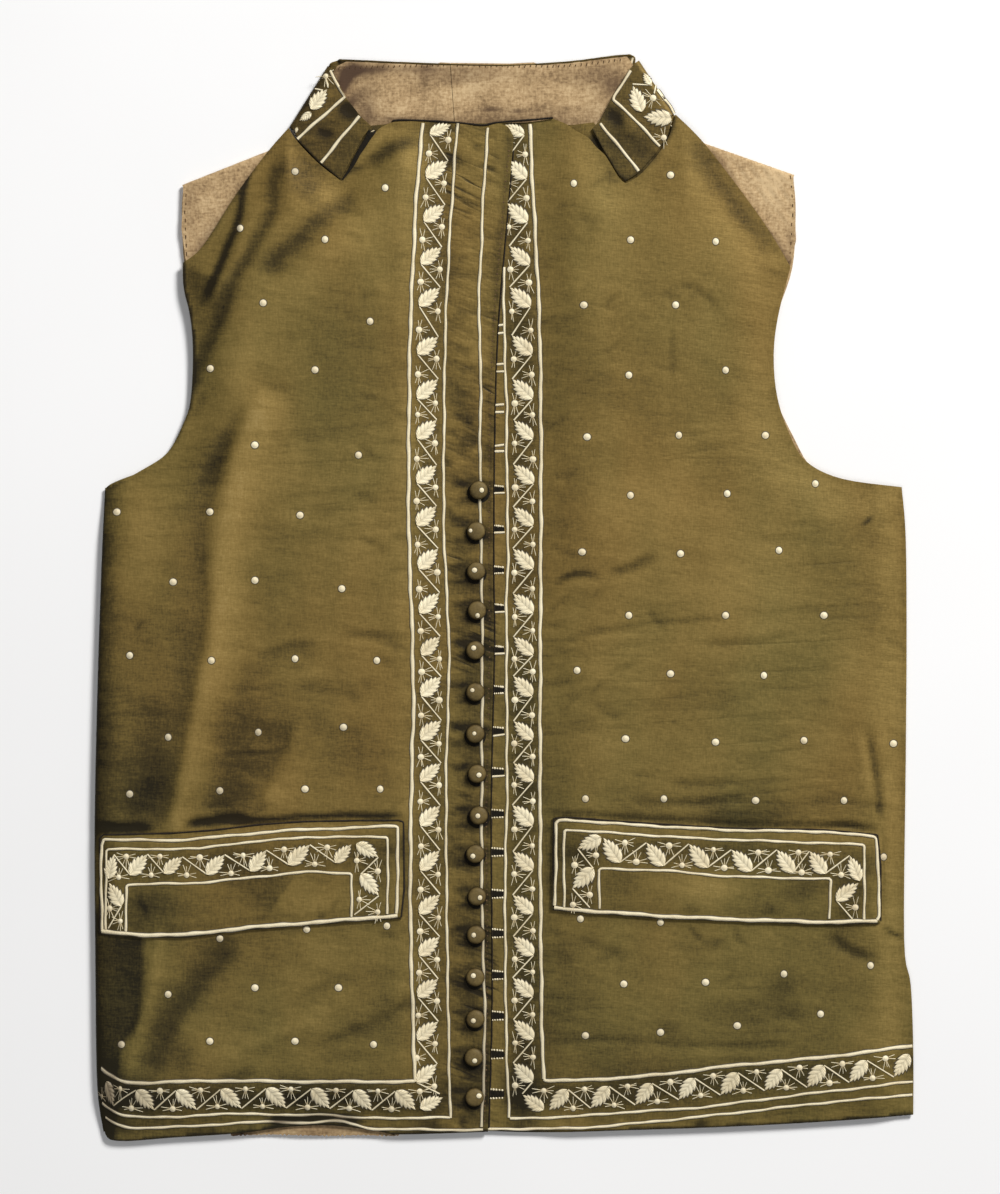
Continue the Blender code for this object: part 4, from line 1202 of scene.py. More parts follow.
# The middle of each band.
RIGHT_BAND = ((-47.2, 19.5), (-44.9, 120), (-44.3, 212), (-44, 286), (-46.4, 359.4),
              (-46.4, 417), (-45.7, 475), (-43.9, 520), (-41.2, 567), (-38, 604.8))
RIGHT_HEM_BAND = ((-250, 27.0), (-226.7, 20.3), (-199, 19.9), (-162.4, 20.9), (-107.2, 20.4),
                  (-70, 19.5), (-40, 19.5))
LEFT_BAND = ((12, 19.5), (12.2, 67), (11.8, 157), (11.9, 199), (11.9, 313), (12, 347),
             (12.1, 390), (12, 427), (11.2, 468), (10.2, 505), (8.2, 562), (6.6, 604.8))
LEFT_HEM_BAND = ((246, 40.8), (191.5, 34.5), (133.9, 29.4), (95.5, 24.3), (57.1, 21.2),
                 (28.9, 19.2), (16, 19))

RIGHT_CORDS = (
    (OUTER_CORD, ((-48.4, 605.2), (-52, 565.8), (-54.4, 519), (-56.2, 475.2), (-56.9, 415.8),
                  (-56.9, 359.4), (-55, 304.2), (-54.1, 249), (-55, 223.2), (-55.9, 131.4),
                  (-53.2, 30.6)),
     ((-53.2, 30.6), (-89.2, 30.6), (-125.8, 30.6), (-162.4, 31.2), (-199, 30.6),
      (-226.7, 30.4), (-250.5, 38.6))),
    (INNER_CORD, ((-27.7, 605), (-30.4, 569.4), (-33.4, 520.2), (-35.2, 474.6), (-35.9, 419.4),
                  (-35.9, 359.4), (-32.9, 286.2), (-34.6, 212.4), (-34, 112.8), (-32.2, 8.4)),
     ((-32.2, 8.4), (-43.8, 8.5), (-90, 8.4), (-105.3, 10.5), (-128.4, 9.8), (-154.6, 11.2),
      (-182, 10.0), (-199, 9.2), (-226.7, 9.8), (-249.5, 17.6))),
    (THIRD_CORD, ((-9.4, 602.4), (-12.1, 565.8), (-13.7, 526.2), (-15.1, 492.6), (-13.9, 462),
                  (-14.2, 419.4), (-14.2, 392.4), (-13.7, 346.8), (-13, 307.2),
                  (-13.3, 177.6), (-13, 129.6), (-11.4, 64.2), (-13.3, 3)),),
    (INNER_CORD, ((-12.5, 1.0), (-44, 1.3), (-77.7, 1.9), (-90, 4.4), (-99.2, 6.4),
                  (-120.7, 5.4), (-136, 5.9), (-159.2, 5.4), (-182, 3.6), (-199, 3.0),
                  (-226.7, 2.8), (-245.6, 8.6)),),
)
LEFT_CORDS = (
    (INNER_CORD, ((0.1, 519), (0.1, 499.2), (0.5, 468.6), (1.7, 438), (1.6, 427.2),
                  (1.9, 390), (2.5, 346.8), (1.6, 312.6), (1.9, 199.2), (0.8, 156.6),
                  (1.3, 67.2), (3.1, 8.4)),
     ((3.8, 7.6), (38.5, 9), (76.3, 12), (114.8, 14.4), (153.2, 19.2), (191.5, 24),
      (245.6, 30))),
    (OUTER_CORD, ((15.6, 604.8), (17.6, 562.2), (20.6, 505.2), (21.8, 468.6), (22.3, 419.4),
                  (22.3, 390), (21.8, 193.8), (22.9, 61.2), (24.1, 31.6)),
     ((24.1, 31.6), (28.9, 30.6), (57.1, 31.8), (95.5, 34.8), (133.9, 39.6), (191.5, 45),
      (245.4, 51.6))),
    (INNER_CORD, ((-9.4, 1.4), (38.5, 2.0), (76.3, 4.8), (133.9, 10.8), (191.5, 17.4),
                  (245.4, 22.2)),),
)
RIGHT_SPOTS = (
    (-125, 576), (-158, 542), (-71, 566), (-107, 535), (-144, 497), (-80, 486), (-176, 458),
    (-113, 457), (-149, 412), (-87, 406), (-232, 372), (-176, 372), (-122, 370), (-198, 330),
    (-149, 331), (-97, 326), (-224, 286), (-175, 283), (-125, 284), (-76, 283), (-201, 237),
    (-147, 240), (-96, 243), (-224, 203), (-170, 205), (-119, 206), (-74, 206), (-118, 122),
    (-170, 116.5), (-70, 124), (-201, 83), (-149, 87), (-99, 87), (-229, 53), (-176, 55),
    (-125, 55), (-78, 53),
)
LEFT_SPOTS = (
    (42, 569), (100, 574), (76, 535), (127, 534), (48, 496), (103, 496), (75, 454), (133, 457),
    (50, 417), (105, 418), (157, 418), (76, 382), (134, 383), (187, 389), (47, 348),
    (106, 347), (165, 349), (75, 310), (133, 310), (192, 310), (44, 277), (100, 275),
    (156, 274), (73, 236), (127, 234), (180, 235), (234, 233), (49, 200), (96, 200),
    (151, 199), (204, 199), (46, 128), (94, 126), (228, 165), (72, 89), (121, 90), (168, 95),
    (220, 100), (49, 58), (94, 60), (140, 64), (190, 71),
)

stitch_draw = random.Random(11)
surfaces = {}


def floss_material():
    """Cream silk floss: satin stitches side by side, with painted shade at their edges where they
    sink into the silk, and the cloth's painted shade over them.
    """
    material, tree, shader, where = start_material("cream_floss")
    thread = node(tree, "UVMap", uv_map="thread")
    strands = node(tree, "TexWave", {"Vector": thread, "Scale": 0.42, "Distortion": 0.7,
                                     "Detail": 1.0}, "Fac", bands_direction="X")
    dust = grain(tree, where, 60, detail=3)
    fine = grain(tree, where, 900)
    tone = sum_of(tree, (strands, 0.42), (dust, 0.70), (fine, 0.34), -0.26)
    cream = colours_by(tree, tone, (0.0, 0.46, 0.330, 0.170), (0.35, 0.80, 0.68, 0.430),
                       (0.7, 1.00, 0.91, 0.660))
    cream = mixed(tree, reading(tree, "gloom"), cream, (0.17, 0.125, 0.075, 1))
    edge_shade = colours_by(tree, reading(tree, "shade"), (0.12, 0.0, 0.0, 0.0), (0.55, 1.0, 1.0, 1.0))
    colour = mixed(tree, edge_shade, cream, (0.040, 0.029, 0.013, 1))
    height = sum_of(tree, (strands, 1.0), (fine, 0.4))
    dress(shader, colour, 0.5, 0.35, (height, 0.5, 0.18), sheen=0.1)
    return material


def surface_of(cloth):
    """A piece's faces, to find its height by; kept for what else is sewn on it."""
    if cloth.name not in surfaces:
        surfaces[cloth.name] = BVHTree.FromObject(cloth, bpy.context.evaluated_depsgraph_get())
    return surfaces[cloth.name]


def heights_on(cloth, spots):
    """The height in millimetres of a piece's upper face at each spot."""
    heights = [0.0]
    for across, up in spots:
        hit = surface_of(cloth).ray_cast(Vector((across * MM, (up - HEM_TO_MIDDLE) * MM, 1.0)),
                                         Vector((0, 0, -1)))[0]
        heights.append(heights[-1] if hit is None else hit.z / MM)
    return np.array(heights[1:])


def new_work():
    """Nothing sewn yet."""
    return {"spots": [], "lifts": [], "faces": [], "threads": [], "shades": [], "count": 0}


def sew(work, spots, lifts, faces, threads, shades):
    """Add one stitched shape: places, heights above the cloth, faces, thread lines, shade."""
    for key, values in zip(("spots", "lifts", "threads", "shades"),
                           (spots, lifts, threads, shades)):
        work[key].append(np.asarray(values, float))
    work["faces"] += [[corner + work["count"] for corner in face] for face in faces]
    work["count"] += len(spots)


def drawn_in(spots):
    """The end of the right hem's band, drawn together where the side turns away."""
    beyond = np.where(spots[:, 1] < BAND_TURNS[1], np.maximum(BAND_TURNS[0] - spots[:, 0], 0), 0)
    squeezed = SQUEEZE * (1 - np.exp(-beyond / SQUEEZE))
    return np.stack([spots[:, 0] + beyond - squeezed, spots[:, 1]], 1)


def finish_work(name, work, cloth, material, creased=(), patches=()):
    """Lay all the stitched shapes on a cloth and join them into one piece."""
    spots = drawn_in(np.concatenate(work["spots"]))
    level = heights_on(cloth, spots) + np.concatenate(work["lifts"])
    piece = add_mesh(name, to_metres(spots, level), work["faces"], material)
    threads = np.concatenate(work["threads"])
    layer = piece.data.uv_layers.new(name="thread")
    corners = np.empty(len(piece.data.loops), int)
    piece.data.loops.foreach_get("vertex_index", corners)
    layer.data.foreach_set("uv", threads[corners].ravel())
    add_tone(piece, "shade", np.concatenate(work["shades"]))
    # The cloth's painted shade, carried onto the stitches that lie on it.
    gloom = creases(spots, creased, 1) + smudges(spots, patches)
    add_tone(piece, "gloom", np.clip(-GLOOM * gloom, 0, 1))
    mesh = bmesh.new()
    mesh.from_mesh(piece.data)
    bmesh.ops.recalc_face_normals(mesh, faces=mesh.faces)
    mesh.to_mesh(piece.data)
    mesh.free()
    bpy.ops.object.shade_smooth_by_angle(angle=STITCH_SHARP)
    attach(piece, "root")
    return piece


def spaced_along(curve, step):
    """Points at even steps along a curve, the direction to the left of each, its reach."""
    curve = np.array(curve, float)
    lengths = lengths_along(curve)
    reach = np.linspace(0, lengths[-1], max(2, round(lengths[-1] / step) + 1))
    spots = np.stack([np.interp(reach, lengths, curve[:, axis]) for axis in (0, 1)], 1)
    ahead = np.gradient(spots, axis=0)
    ahead /= np.linalg.norm(ahead, axis=1)[:, None] + 1e-9
    return spots, np.stack([-ahead[:, 1], ahead[:, 0]], 1), reach


# Across a cord: part of its half width, part of its height, how far it is in shade.
CORD_SECTION = ((-1.42, 0.03, 1.0), (-1.0, 0.16, 0.4), (-0.78, 0.66, 0.15), (0.0, 1.0, 0.13),
                (0.78, 0.66, 0.15), (1.0, 0.16, 0.4), (1.42, 0.03, 1.0))


def sew_cord(work, curve, width, height=CORD_HEIGHT, step=1.5, smooth=True, taper=0.0):
    """A laid cord: a low rounded ridge that wanders and swells a little."""
    if smooth and len(curve) > 2:
        curve = curve_through(curve, 8)
    spots, left, reach = spaced_along(curve, step)
    phase = stitch_draw.uniform(0, 9)
    wander = waves(reach, (0.22, 7.3, phase), (0.13, 2.9, 2 * phase))
    swell = 1 + waves(reach, (0.10, 4.1, phase), (0.07, 1.7, 0))
    if taper:
        wander *= 0.3
        swell *= 1 - taper * np.linspace(0, 1, len(reach))
    rings, lifts, threads = [], [], []
    for part, lift, _ in CORD_SECTION:
        side = part * width / 2 * swell + wander * (width > 1)
        rings.append(spots + left * side[:, None])
        lifts.append(lift * height * swell)
        threads.append(np.stack([reach + 0.55 * part * width, np.full(len(reach), part)], 1))
    ring = len(CORD_SECTION)
    spots, lifts, threads = (np.stack(each, 1).reshape(len(reach) * ring, -1)
                             for each in (rings, lifts, threads))
    faces = [[a * ring + b, a * ring + (b + 1) % ring, (a + 1) * ring + (b + 1) % ring,
              (a + 1) * ring + b] for a in range(len(reach) - 1) for b in range(ring)]
    faces += [list(range(ring)), list(range((len(reach) - 1) * ring, len(reach) * ring))]
    sew(work, spots, lifts[:, 0], faces, threads,
        [shade for _ in reach for _, _, shade in CORD_SECTION])


# A leaf's right half is a little leaner; its veins are sunk by a part of its height and darkened with
# painted shade.
LEAN_SIDE = 0.92
VEIN_SINK = 0.35
VEIN_SHADE = 0.27


def sew_leaf(work, base, tip, plump=1.0):
    """A satin-stitched leaf with a sunk midrib, three lobes a side and a pointed tip."""
    ahead = np.subtract(tip, base)
    length = np.linalg.norm(ahead)
    left = np.array((-ahead[1], ahead[0]))
    spots, lifts, threads, shades = [], [], [], []
    for side in (1, -1):
        for along, half, start, vein in LEAF_EDGE:
            half *= plump * (1.0 if side > 0 else LEAN_SIDE)
            for part, lift, shade in LEAF_SECTION:
                place = start + (along - start) * part
                spots.append(base + ahead * place + left * (half * part * side))
                lifts.append(lift * (1 - VEIN_SINK * vein))
                threads.append((start * length * side + part * 0.5, part))
                shades.append(max(shade, VEIN_SHADE * vein))
    rows, width = len(LEAF_EDGE), len(LEAF_SECTION)
    faces = []
    for side in range(2):
        for row in range(rows - 1):
            corner = (side * rows + row) * width
            faces += [[corner + column, corner + column + 1, corner + column + width + 1,
                       corner + column + width] for column in range(width - 1)]
            # The leaf's under face, from the midrib to the edge.
            faces.append([corner, corner + width, corner + 2 * width - 1, corner + width - 1])
    sew(work, spots, lifts, faces, threads, shades)


# Out from the middle of a dot: part of its radius, part of its height, how far in shade.
DOT_SECTION = ((0.62, 0.80, 0.0), (0.96, 0.20, 0.1), (1.30, 0.04, 1.0))


def sew_dot(work, centre, radius, height, sides=10):
    """A round satin-stitched dot, domed."""
    spots, lifts, threads, shades = [centre], [height], [(0, 0)], [0.0]
    squash = stitch_draw.uniform(0.9, 1.1)
    turn = stitch_draw.uniform(0, 6)
    for part, lift, shade in DOT_SECTION:
        for step in range(sides):
            angle = math.tau * step / sides + turn
            x, y = radius * part * math.cos(angle) * squash, radius * part * math.sin(angle)
            spots.append((centre[0] + x, centre[1] + y))
            lifts.append(lift * height)
            threads.append((x * 1.2, y))
            shades.append(shade)
    faces = [[0, 1 + step, 1 + (step + 1) % sides] for step in range(sides)]
    for ring in range(1, len(DOT_SECTION) * sides, sides)[:-1]:
        faces += [[ring + step, ring + sides + step, ring + sides + (step + 1) % sides,
                   ring + (step + 1) % sides] for step in range(sides)]
    faces.append(list(range(len(spots) - 1, len(spots) - 1 - sides, -1)))
    sew(work, spots, lifts, faces, threads, shades)


RAY_WIDTH = 0.56
RAY_FACES = ((0, 1, 4, 3), (1, 2, 5, 4), (2, 0, 3, 5), (0, 2, 1), (3, 4, 5))
STITCH_SHADE = 0.13


def sew_ray(work, start, end, width=RAY_WIDTH):
    """One long straight stitch, thinner at its far end."""
    start, end = np.array(start, float), np.array(end, float)
    reach = np.linalg.norm(end - start)
    ahead = (end - start) / (reach + 1e-9)
    left = np.array((-ahead[1], ahead[0]))
    spots = []
    for spot, half in ((start, width / 2), (end, width * 0.36)):
        spots += [spot - left * half, spot, spot + left * half]
    sew(work, spots, [-0.05, 0.32, -0.05] * 2, RAY_FACES,
        [(0, 0)] * 3 + [(0.1 * reach, 0)] * 3, [STITCH_SHADE] * 6)


# How a berry's rays are spread, ahead, behind and inwards, and how long they are.
RAYS_AHEAD = (-0.22, 0.20)
RAY_GAP_BEHIND = 0.34
RAYS_INWARD = (-0.40, 0.0, 0.38)
RAY_LENGTHS = (3.4, 5.8)


def sew_berry(work, centre, ahead, inward):
    """A berry with its rays: two ahead, two or three behind, three towards the band's middle."""
    sew_dot(work, centre, BERRY_RADIUS * stitch_draw.uniform(0.88, 1.10), 0.75)
    facing = math.atan2(ahead[1], ahead[0])
    side = math.atan2(inward[1], inward[0])
    behind = stitch_draw.choice((2, 3))
    angles = [facing + spread for spread in RAYS_AHEAD]
    angles += [facing + math.pi + (row - (behind - 1) / 2) * RAY_GAP_BEHIND
               for row in range(behind)]
    angles += [side + spread for spread in RAYS_INWARD]
    for angle in angles:
        angle += stitch_draw.uniform(-0.10, 0.10)
        way = np.array((math.cos(angle), math.sin(angle)))
        first = np.array(centre) + way * BERRY_RADIUS * 0.9
        sew_ray(work, first, first + way * stitch_draw.uniform(*RAY_LENGTHS))


# How far along the band from a leaf's foot its tip and its two berries lie.
TIP_REACH = (10.4, 12.0)
OUTER_BERRY, INNER_BERRY = 14.4, -2.6


def sew_band(work, middle, starts, axis, hand, stem_from=None):
    """Leaves, stems and berries along a band.

    The leaves start at the given places along one axis, in order of growth; hand is 1
    where their bases lie to the left of the way that they grow, and -1 to the right.
    """
    curve = np.array(curve_through(middle, 8))
    lengths = lengths_along(curve)
    order = np.argsort(curve[:, axis])
    reaches = np.interp(starts, curve[order, axis], lengths[order])

    def place_at(reach):
        return np.array([np.interp(reach, lengths, curve[:, a]) for a in (0, 1)])

    def on_band(reach, side):
        reach = min(max(reach, 0.0), lengths[-1])
        ahead = place_at(reach + 2) - place_at(reach - 2)
        ahead /= np.linalg.norm(ahead)
        left = np.array((-ahead[1], ahead[0])) * hand
        return place_at(reach) + left * side, ahead, left

    tip = stem_from
    for reach in reaches:
        base, ahead, left = on_band(reach, BAND_HALF * stitch_draw.uniform(0.92, 1.04))
        if tip is not None:
            sew_cord(work, (tip + ahead * 0.2, base - ahead * 0.4), STEM_WIDTH, 0.5, 3.0)
        tip = on_band(reach + stitch_draw.uniform(*TIP_REACH),
                      -BAND_HALF * stitch_draw.uniform(1.06, 1.20))[0]
        sew_leaf(work, base, tip, stitch_draw.uniform(0.92, 1.06))
        outer, ahead, left = on_band(reach + OUTER_BERRY, BAND_HALF * stitch_draw.uniform(0.90, 1.0))
        if reach + OUTER_BERRY < lengths[-1]:
            sew_berry(work, outer, ahead, -left)
        inner, ahead, left = on_band(reach + INNER_BERRY,
                                     -BAND_HALF * stitch_draw.uniform(0.92, 1.04))
        if reach + INNER_BERRY > 0:
            sew_berry(work, inner, ahead, left)


def embroider_front(front, hand, cords, hem, hem_leaves, corner_leaf, band, band_from, spots,
                    creased, patches):
    """The cords, the band along the hem and up the front edge, and the sprinkled spots."""
    work = new_work()
    for width, *curves in cords:
        for curve in curves:
            sew_cord(work, curve, width)
    sew_band(work, hem, hem_leaves, 0, hand)
    sew_leaf(work, *corner_leaf)
    sew_band(work, band, FRONT_LEAVES, 1, hand, np.array(band_from))
    for centre in spots:
        sew_dot(work, centre, SPOT_RADIUS, 0.8, 12)
    return finish_work(front.name.replace("silk", "embroidery"), work, front, floss,
                       creased, patches)


floss = floss_material()
right_stitches = embroider_front(
    right_front, 1, RIGHT_CORDS, RIGHT_HEM_BAND, RIGHT_HEM_LEAVES, ((-50.1, 14.4), (-36.5, 20.6)),
    RIGHT_BAND, (-38.5, 22.6), RIGHT_SPOTS, RIGHT_FRONT_CREASES, RIGHT_FRONT_TONES)
left_stitches = embroider_front(
    left_front, -1, LEFT_CORDS, LEFT_HEM_BAND, LEFT_HEM_LEAVES, ((23.9, 13.2), (11.5, 21.8)),
    LEFT_BAND, (11.2, 22.4), LEFT_SPOTS, LEFT_FRONT_CREASES, LEFT_FRONT_TONES)

# ----------------------------------------
# The embroidery of the collar and the welts: the same cords, leaves and
# berries, worked to the shape of each panel before it was made up.

COLLAR_WORK = {
    "cords": ((1.72, ((-104.0, 636.8), (-95.6, 621.0), (-123.7, 595.7))),
              (1.72, ((-86.6, 609.5), (-109.6, 581.5))),
              (1.50, ((77.9, 645.0), (76.7, 641.4))),
              (1.6, ((76.1, 636.8), (66.3, 620.9), (66, 619.3), (77.3, 608.3), (93.7, 591.4))),
              (1.72, ((58, 605.1), (80.8, 576.4))),
              (1.58, ((92, 625.3), (99.8, 615.7), (102.2, 610.9)))),
    "leaves": (((-115.6, 613.6), (-106.0, 625.5)), ((82.8, 612.1), (77.3, 627.7)),
               ((88.2, 628.2), (83.7, 635.6)), ((101.2, 608.3), (83.7, 608.9)),
               ((-115.5, 611.5), (-122.6, 606.6)), ((-124.0, 602.6), (-124.9, 599.2))),
    "stems": (((-105.4, 626.5), (-106.8, 632)), ((77.3, 628.6), (89, 628)),
              ((91.4, 628.4), (90.2, 623)), ((100.8, 606.6), (100.4, 603.4)),
              ((-113.4, 625.9), (-108.4, 624.8))),
    "berries": ((200, 290, (-106.8, 633.4)), (330, 240, (89.6, 620.3)), (100, 180, (96, 596.6))),
}
RIGHT_WELT_WORK = {
    "cords": ((1.72, ((-240.6, 120.8), (-241.2, 150), (-241, 172.5), (-239.6, 176), (-199, 175.2),
                     (-162.4, 178.2), (-133, 181.2), (-64.6, 184), (-63.2, 183), (-64.0, 131.6))),
              (2.17, ((-241.0, 120.6), (-217.7, 118.9), (-190, 118.9), (-153.4, 123.2),
                     (-107.2, 126.8), (-63.6, 130.4))),
              (1.45, ((-238.4, 122), (-238.0, 168.8), (-236.8, 170), (-182.2, 170.4),
                     (-162.4, 173.4), (-118.6, 177.3), (-70.2, 177.5), (-69.4, 176.6),
                     (-69.7, 131.4))),
              (1.50, ((-226, 120.8), (-226, 147.8), (-225, 148.8), (-181, 150), (-118.6, 156.6),
                     (-92, 155.6), (-90.9, 154.6), (-91.3, 129.6)))),
    "leaves": (((-228.8, 136.2), (-236.2, 149.9)), ((-236.4, 152.5), (-233.3, 166.9)),
               ((-223.5, 154.7), (-213.2, 167.1)), ((-203.1, 155.7), (-192.3, 165.5)),
               ((-177.7, 155.1), (-167, 166.8)), ((-151.4, 157), (-142.1, 169.5)),
               ((-128.8, 160.9), (-116, 172.7)), ((-100.9, 162.1), (-91.1, 173)),
               ((-88.2, 173.3), (-75.1, 165.3)), ((-85.5, 155.2), (-74.8, 142.2))),
    "stems": (((-236.8, 122.6), (-228.8, 136.2)), ((-74.8, 142.2), (-89.4, 130.9))),
    "berries": ((0, 270, (-225.8, 165.8), (-205.7, 165.8), (-181.9, 165.2), (-155.9, 166.4),
                 (-131.4, 170), (-105.6, 171.2)),
                (0, 90, (-230.4, 153.4), (-210.9, 154.7), (-189.7, 154.7), (-163.1, 155.7),
                 (-140.1, 158.8), (-113.1, 161.2)),
                (270, 0, (-87.9, 163.3)), (270, 180, (-75.4, 157)), (270, 0, (-86.4, 140.1)),
                (90, 180, (-75.4, 132.6)), (90, 0, (-235.9, 134.6)), (90, 180, (-229.4, 127.1))),
}
LEFT_WELT_WORK = {
    "cords": ((1.72, ((30.6, 136), (31.6, 185.4), (33.4, 186.9), (37.4, 187.4), (76.3, 184.6),
                     (133.9, 181.3), (191.5, 180.4), (222, 177.5), (223.4, 176), (224.4, 160.2),
                     (225, 129.6), (223.9, 127.4))),
              (2.10, ((223.9, 126.8), (191.5, 126.2), (133.9, 128), (95.5, 129.8), (30.2, 134.4))),
              (1.50, ((36.1, 135), (36.1, 180.6), (37.2, 181.5), (114.8, 176.4), (215.4, 172.6),
                     (216.2, 171.6), (215.8, 127.8))),
              (1.50, ((57.1, 134.4), (57.1, 157.4), (58.1, 158.3), (95.5, 157.2), (133.9, 153.6),
                     (194.9, 152), (195.7, 151.1), (195.2, 128.4)))),
    "leaves": (((199.1, 139.3), (212.5, 149.6)), ((213.2, 151.1), (207.1, 166.1)),
               ((192.6, 155.4), (183, 168.8)), ((173.4, 156.1), (163.5, 169.6)),
               ((148.2, 156.9), (136.3, 169.6)), ((122.2, 159.1), (110.8, 173.1)),
               ((95.7, 160.1), (85.4, 173.8)), ((69.6, 162.1), (59.6, 176.8)),
               ((58.2, 177.1), (44.2, 170.1)), ((53.6, 158.4), (41.1, 146.3))),
    "stems": (((208.7, 128.1), (199.1, 139.3)), ((41.1, 146.3), (51.5, 134.9))),
    "berries": ((180, 270, (195.5, 166.9), (176.5, 168), (152.4, 168), (125.6, 169.7),
                 (99.1, 172.1), (72.6, 173.8)),
                (180, 90, (178.4, 156.1), (158.5, 157.3), (132.1, 158.8), (106.8, 160.4),
                 (79.4, 162.4), (202.1, 154.6)),
                (90, 180, (210.6, 135.1)), (270, 180, (55.2, 166.4)), (270, 0, (42.5, 160.4)),
                (270, 180, (51.5, 142.6)), (90, 0, (41.5, 136.6))),
}


# The welts' leaves that a stem links, from the tip of one to the foot of the next.
LINKED_LEAVES = ((1, 2), (2, 3), (3, 4), (4, 5), (5, 6), (6, 7), (8, 9))


def embroider_panel(cloth, cords, leaves, stems, berries, linked=()):
    """Work one small panel: cords, leaves from base to tip, stems and rayed berries.

    A berry's row opens with the turn of its rays ahead and of those inwards.
    """
    work = new_work()
    for width, curve in cords:
        sew_cord(work, curve, width, 0.7, 1.2, smooth=False)
    for base, tip in leaves:
        sew_leaf(work, base, tip, stitch_draw.uniform(0.92, 1.05))
    links = [(leaves[lower][1], leaves[upper][0]) for lower, upper in linked]
    for start, end in (*stems, *links):
        sew_cord(work, (start, end), STEM_WIDTH, 0.5, 2.0)
    for ahead, inward, *centres in berries:
        ways = [(math.cos(turn), math.sin(turn)) for turn in map(math.radians, (ahead, inward))]
        for centre in centres:
            sew_berry(work, centre, *ways)
    return finish_work(cloth.name.replace("silk", "embroidery"), work, cloth, floss)


collar_stitches = embroider_panel(collar, **COLLAR_WORK)
right_welt_stitches = embroider_panel(right_welt, linked=LINKED_LEAVES, **RIGHT_WELT_WORK)
left_welt_stitches = embroider_panel(left_welt, linked=LINKED_LEAVES, **LEFT_WELT_WORK)

# ----------------------------------------
# The buttonholes, down the left front's edge: slits whose lips are overcast in
# cream silk, beaded or corded.  Four plain double bars lie above them.

BUTTONHOLES_UP = (385.8, 361.8, 337.2, 314.4, 289.2, 265.2, 240.5, 215.9, 190.8, 167.7, 142.6,
                  118.9, 93.8, 69.4, 46.3, 22.5)
BARS_UP = ((484.2, 479.4), (460.8, 456.6), (436.2, 431.9), (412.1, 408.3))
BUTTONHOLE_END = 0.2
# How far the highest and the lowest buttonhole gape, to each side of the middle.
GAPE = (1.6, 2.3)
LIP_BEADS = 5
LIP_CORD, BAR_CORD = 1.15, 1.3
FRONT_EDGE = np.array(curve_through(RIGHT_FRONT_RUNS[5][::-1], 4))


def front_edge(up):
    """Where the right front's edge lies over the left front."""
    return float(np.interp(up, FRONT_EDGE[:, 1], FRONT_EDGE[:, 0]))


def dark_thread_material(name, dark, light, roughness=0.8):
    """Dark silk or linen thread; the same dark matt finish also serves as painted shade and shadow.
    """
    material, tree, shader, where = start_material(name)
    fine = grain(tree, where, 700)
    colour = colours_by(tree, fine, (0.3, *dark), (0.7, *light))
    dress(shader, colour, roughness, 0.2, (fine, 0.4, 0.15))
    return material


def sew_slit(work, start, end, up, half):
    """The mouth of a buttonhole, dark with painted shade, wide at the front edge and narrow at its
    end.
    """
    middle = (start + end) / 2
    rim = [(start, up + half), (middle, up + half * 0.92), (end, up + half * 0.66),
           (end + 0.2, up), (end, up - half * 0.72), (middle, up - half * 0.95),
           (start, up - half)]
    spots = [(middle, up), *rim]
    faces = [[0, 1 + row, 1 + (row + 1) % len(rim)] for row in range(len(rim))]
    faces.append(list(range(len(rim), 0, -1)))
    sew(work, spots, [0.22] + [0.06] * len(rim), faces, [(0, 0)] * len(spots), [0] * len(spots))


work, slits = new_work(), new_work()
for place, up in enumerate(BUTTONHOLES_UP):
    start = front_edge(up) + 0.25
    half = GAPE[0] + (GAPE[1] - GAPE[0]) * place / (len(BUTTONHOLES_UP) - 1)
    # Among the upper nine, two in three have a corded lower lip; the others are beaded.
    corded = place < 9 and place % 3 != 2
    sew_slit(slits, start, BUTTONHOLE_END, up, half)
    for bead in range(LIP_BEADS):
        part = (bead + 0.35) / LIP_BEADS
        across = start + (BUTTONHOLE_END - start) * part + stitch_draw.uniform(-0.1, 0.1)
        size = stitch_draw.uniform(0.52, 0.74)
        sew_dot(work, (across, up + half + 0.55 - 0.7 * part), size, 0.55, 6)
        if not corded:
            sew_dot(work, (across, up - half - 0.4 + 0.3 * part), size * 0.9, 0.5, 6)
    if corded:
        low = up - half - 0.6
        sew_cord(work, ((start, low - 0.3), (0.6, low + 0.25)), LIP_CORD, 0.5)
for up in (bar for pair in BARS_UP for bar in pair):
    sew_cord(work, ((front_edge(up) + 0.3, up - 0.2), (BUTTONHOLE_END, up + 0.2)), BAR_CORD, 0.5)
buttonholes = finish_work("buttonholes", work, left_front, floss)
shade_material = dark_thread_material("buttonhole_shade", (0.006, 0.005, 0.003),
                                   (0.016, 0.012, 0.007), 0.95)
slit_shade = finish_work("buttonhole_slits", slits, left_front, shade_material)

# ----------------------------------------
# Sixteen buttons: wooden moulds covered with gathered silk, each with a small
# cream dot, sewn down the right front close to its edge.

# From the foot up: height and radius of each ring, as parts of the whole button.
BUTTON_RINGS = ((0.00, 0.70), (0.10, 0.90), (0.26, 0.99), (0.45, 1.00), (0.66, 0.93),
                (0.82, 0.80), (0.93, 0.60), (0.985, 0.35), (1.00, 0.13))
BUTTON_SIDES = 20
BUTTON_DOTS = ((1.8, 0), (-3.4, 0.3), (-1, 0.6), (0.3, -3.1), (-1, 1.5), (-1.8, 1.2),
               (-0.6, 0.3), (1.2, -0.6), (-0.5, -0.1), (-1.5, -1.2), (1.8, -0.6), (-1.5, 0),
               (-1.2, 1.2), (-1.2, -0.8), (0.6, -1.8), (2.7, 1.2))
# The buttons whose dot is rubbed small and flat.
FAINT_DOTS = (2, 6, 7)
DOT_RADIUS = 1.4
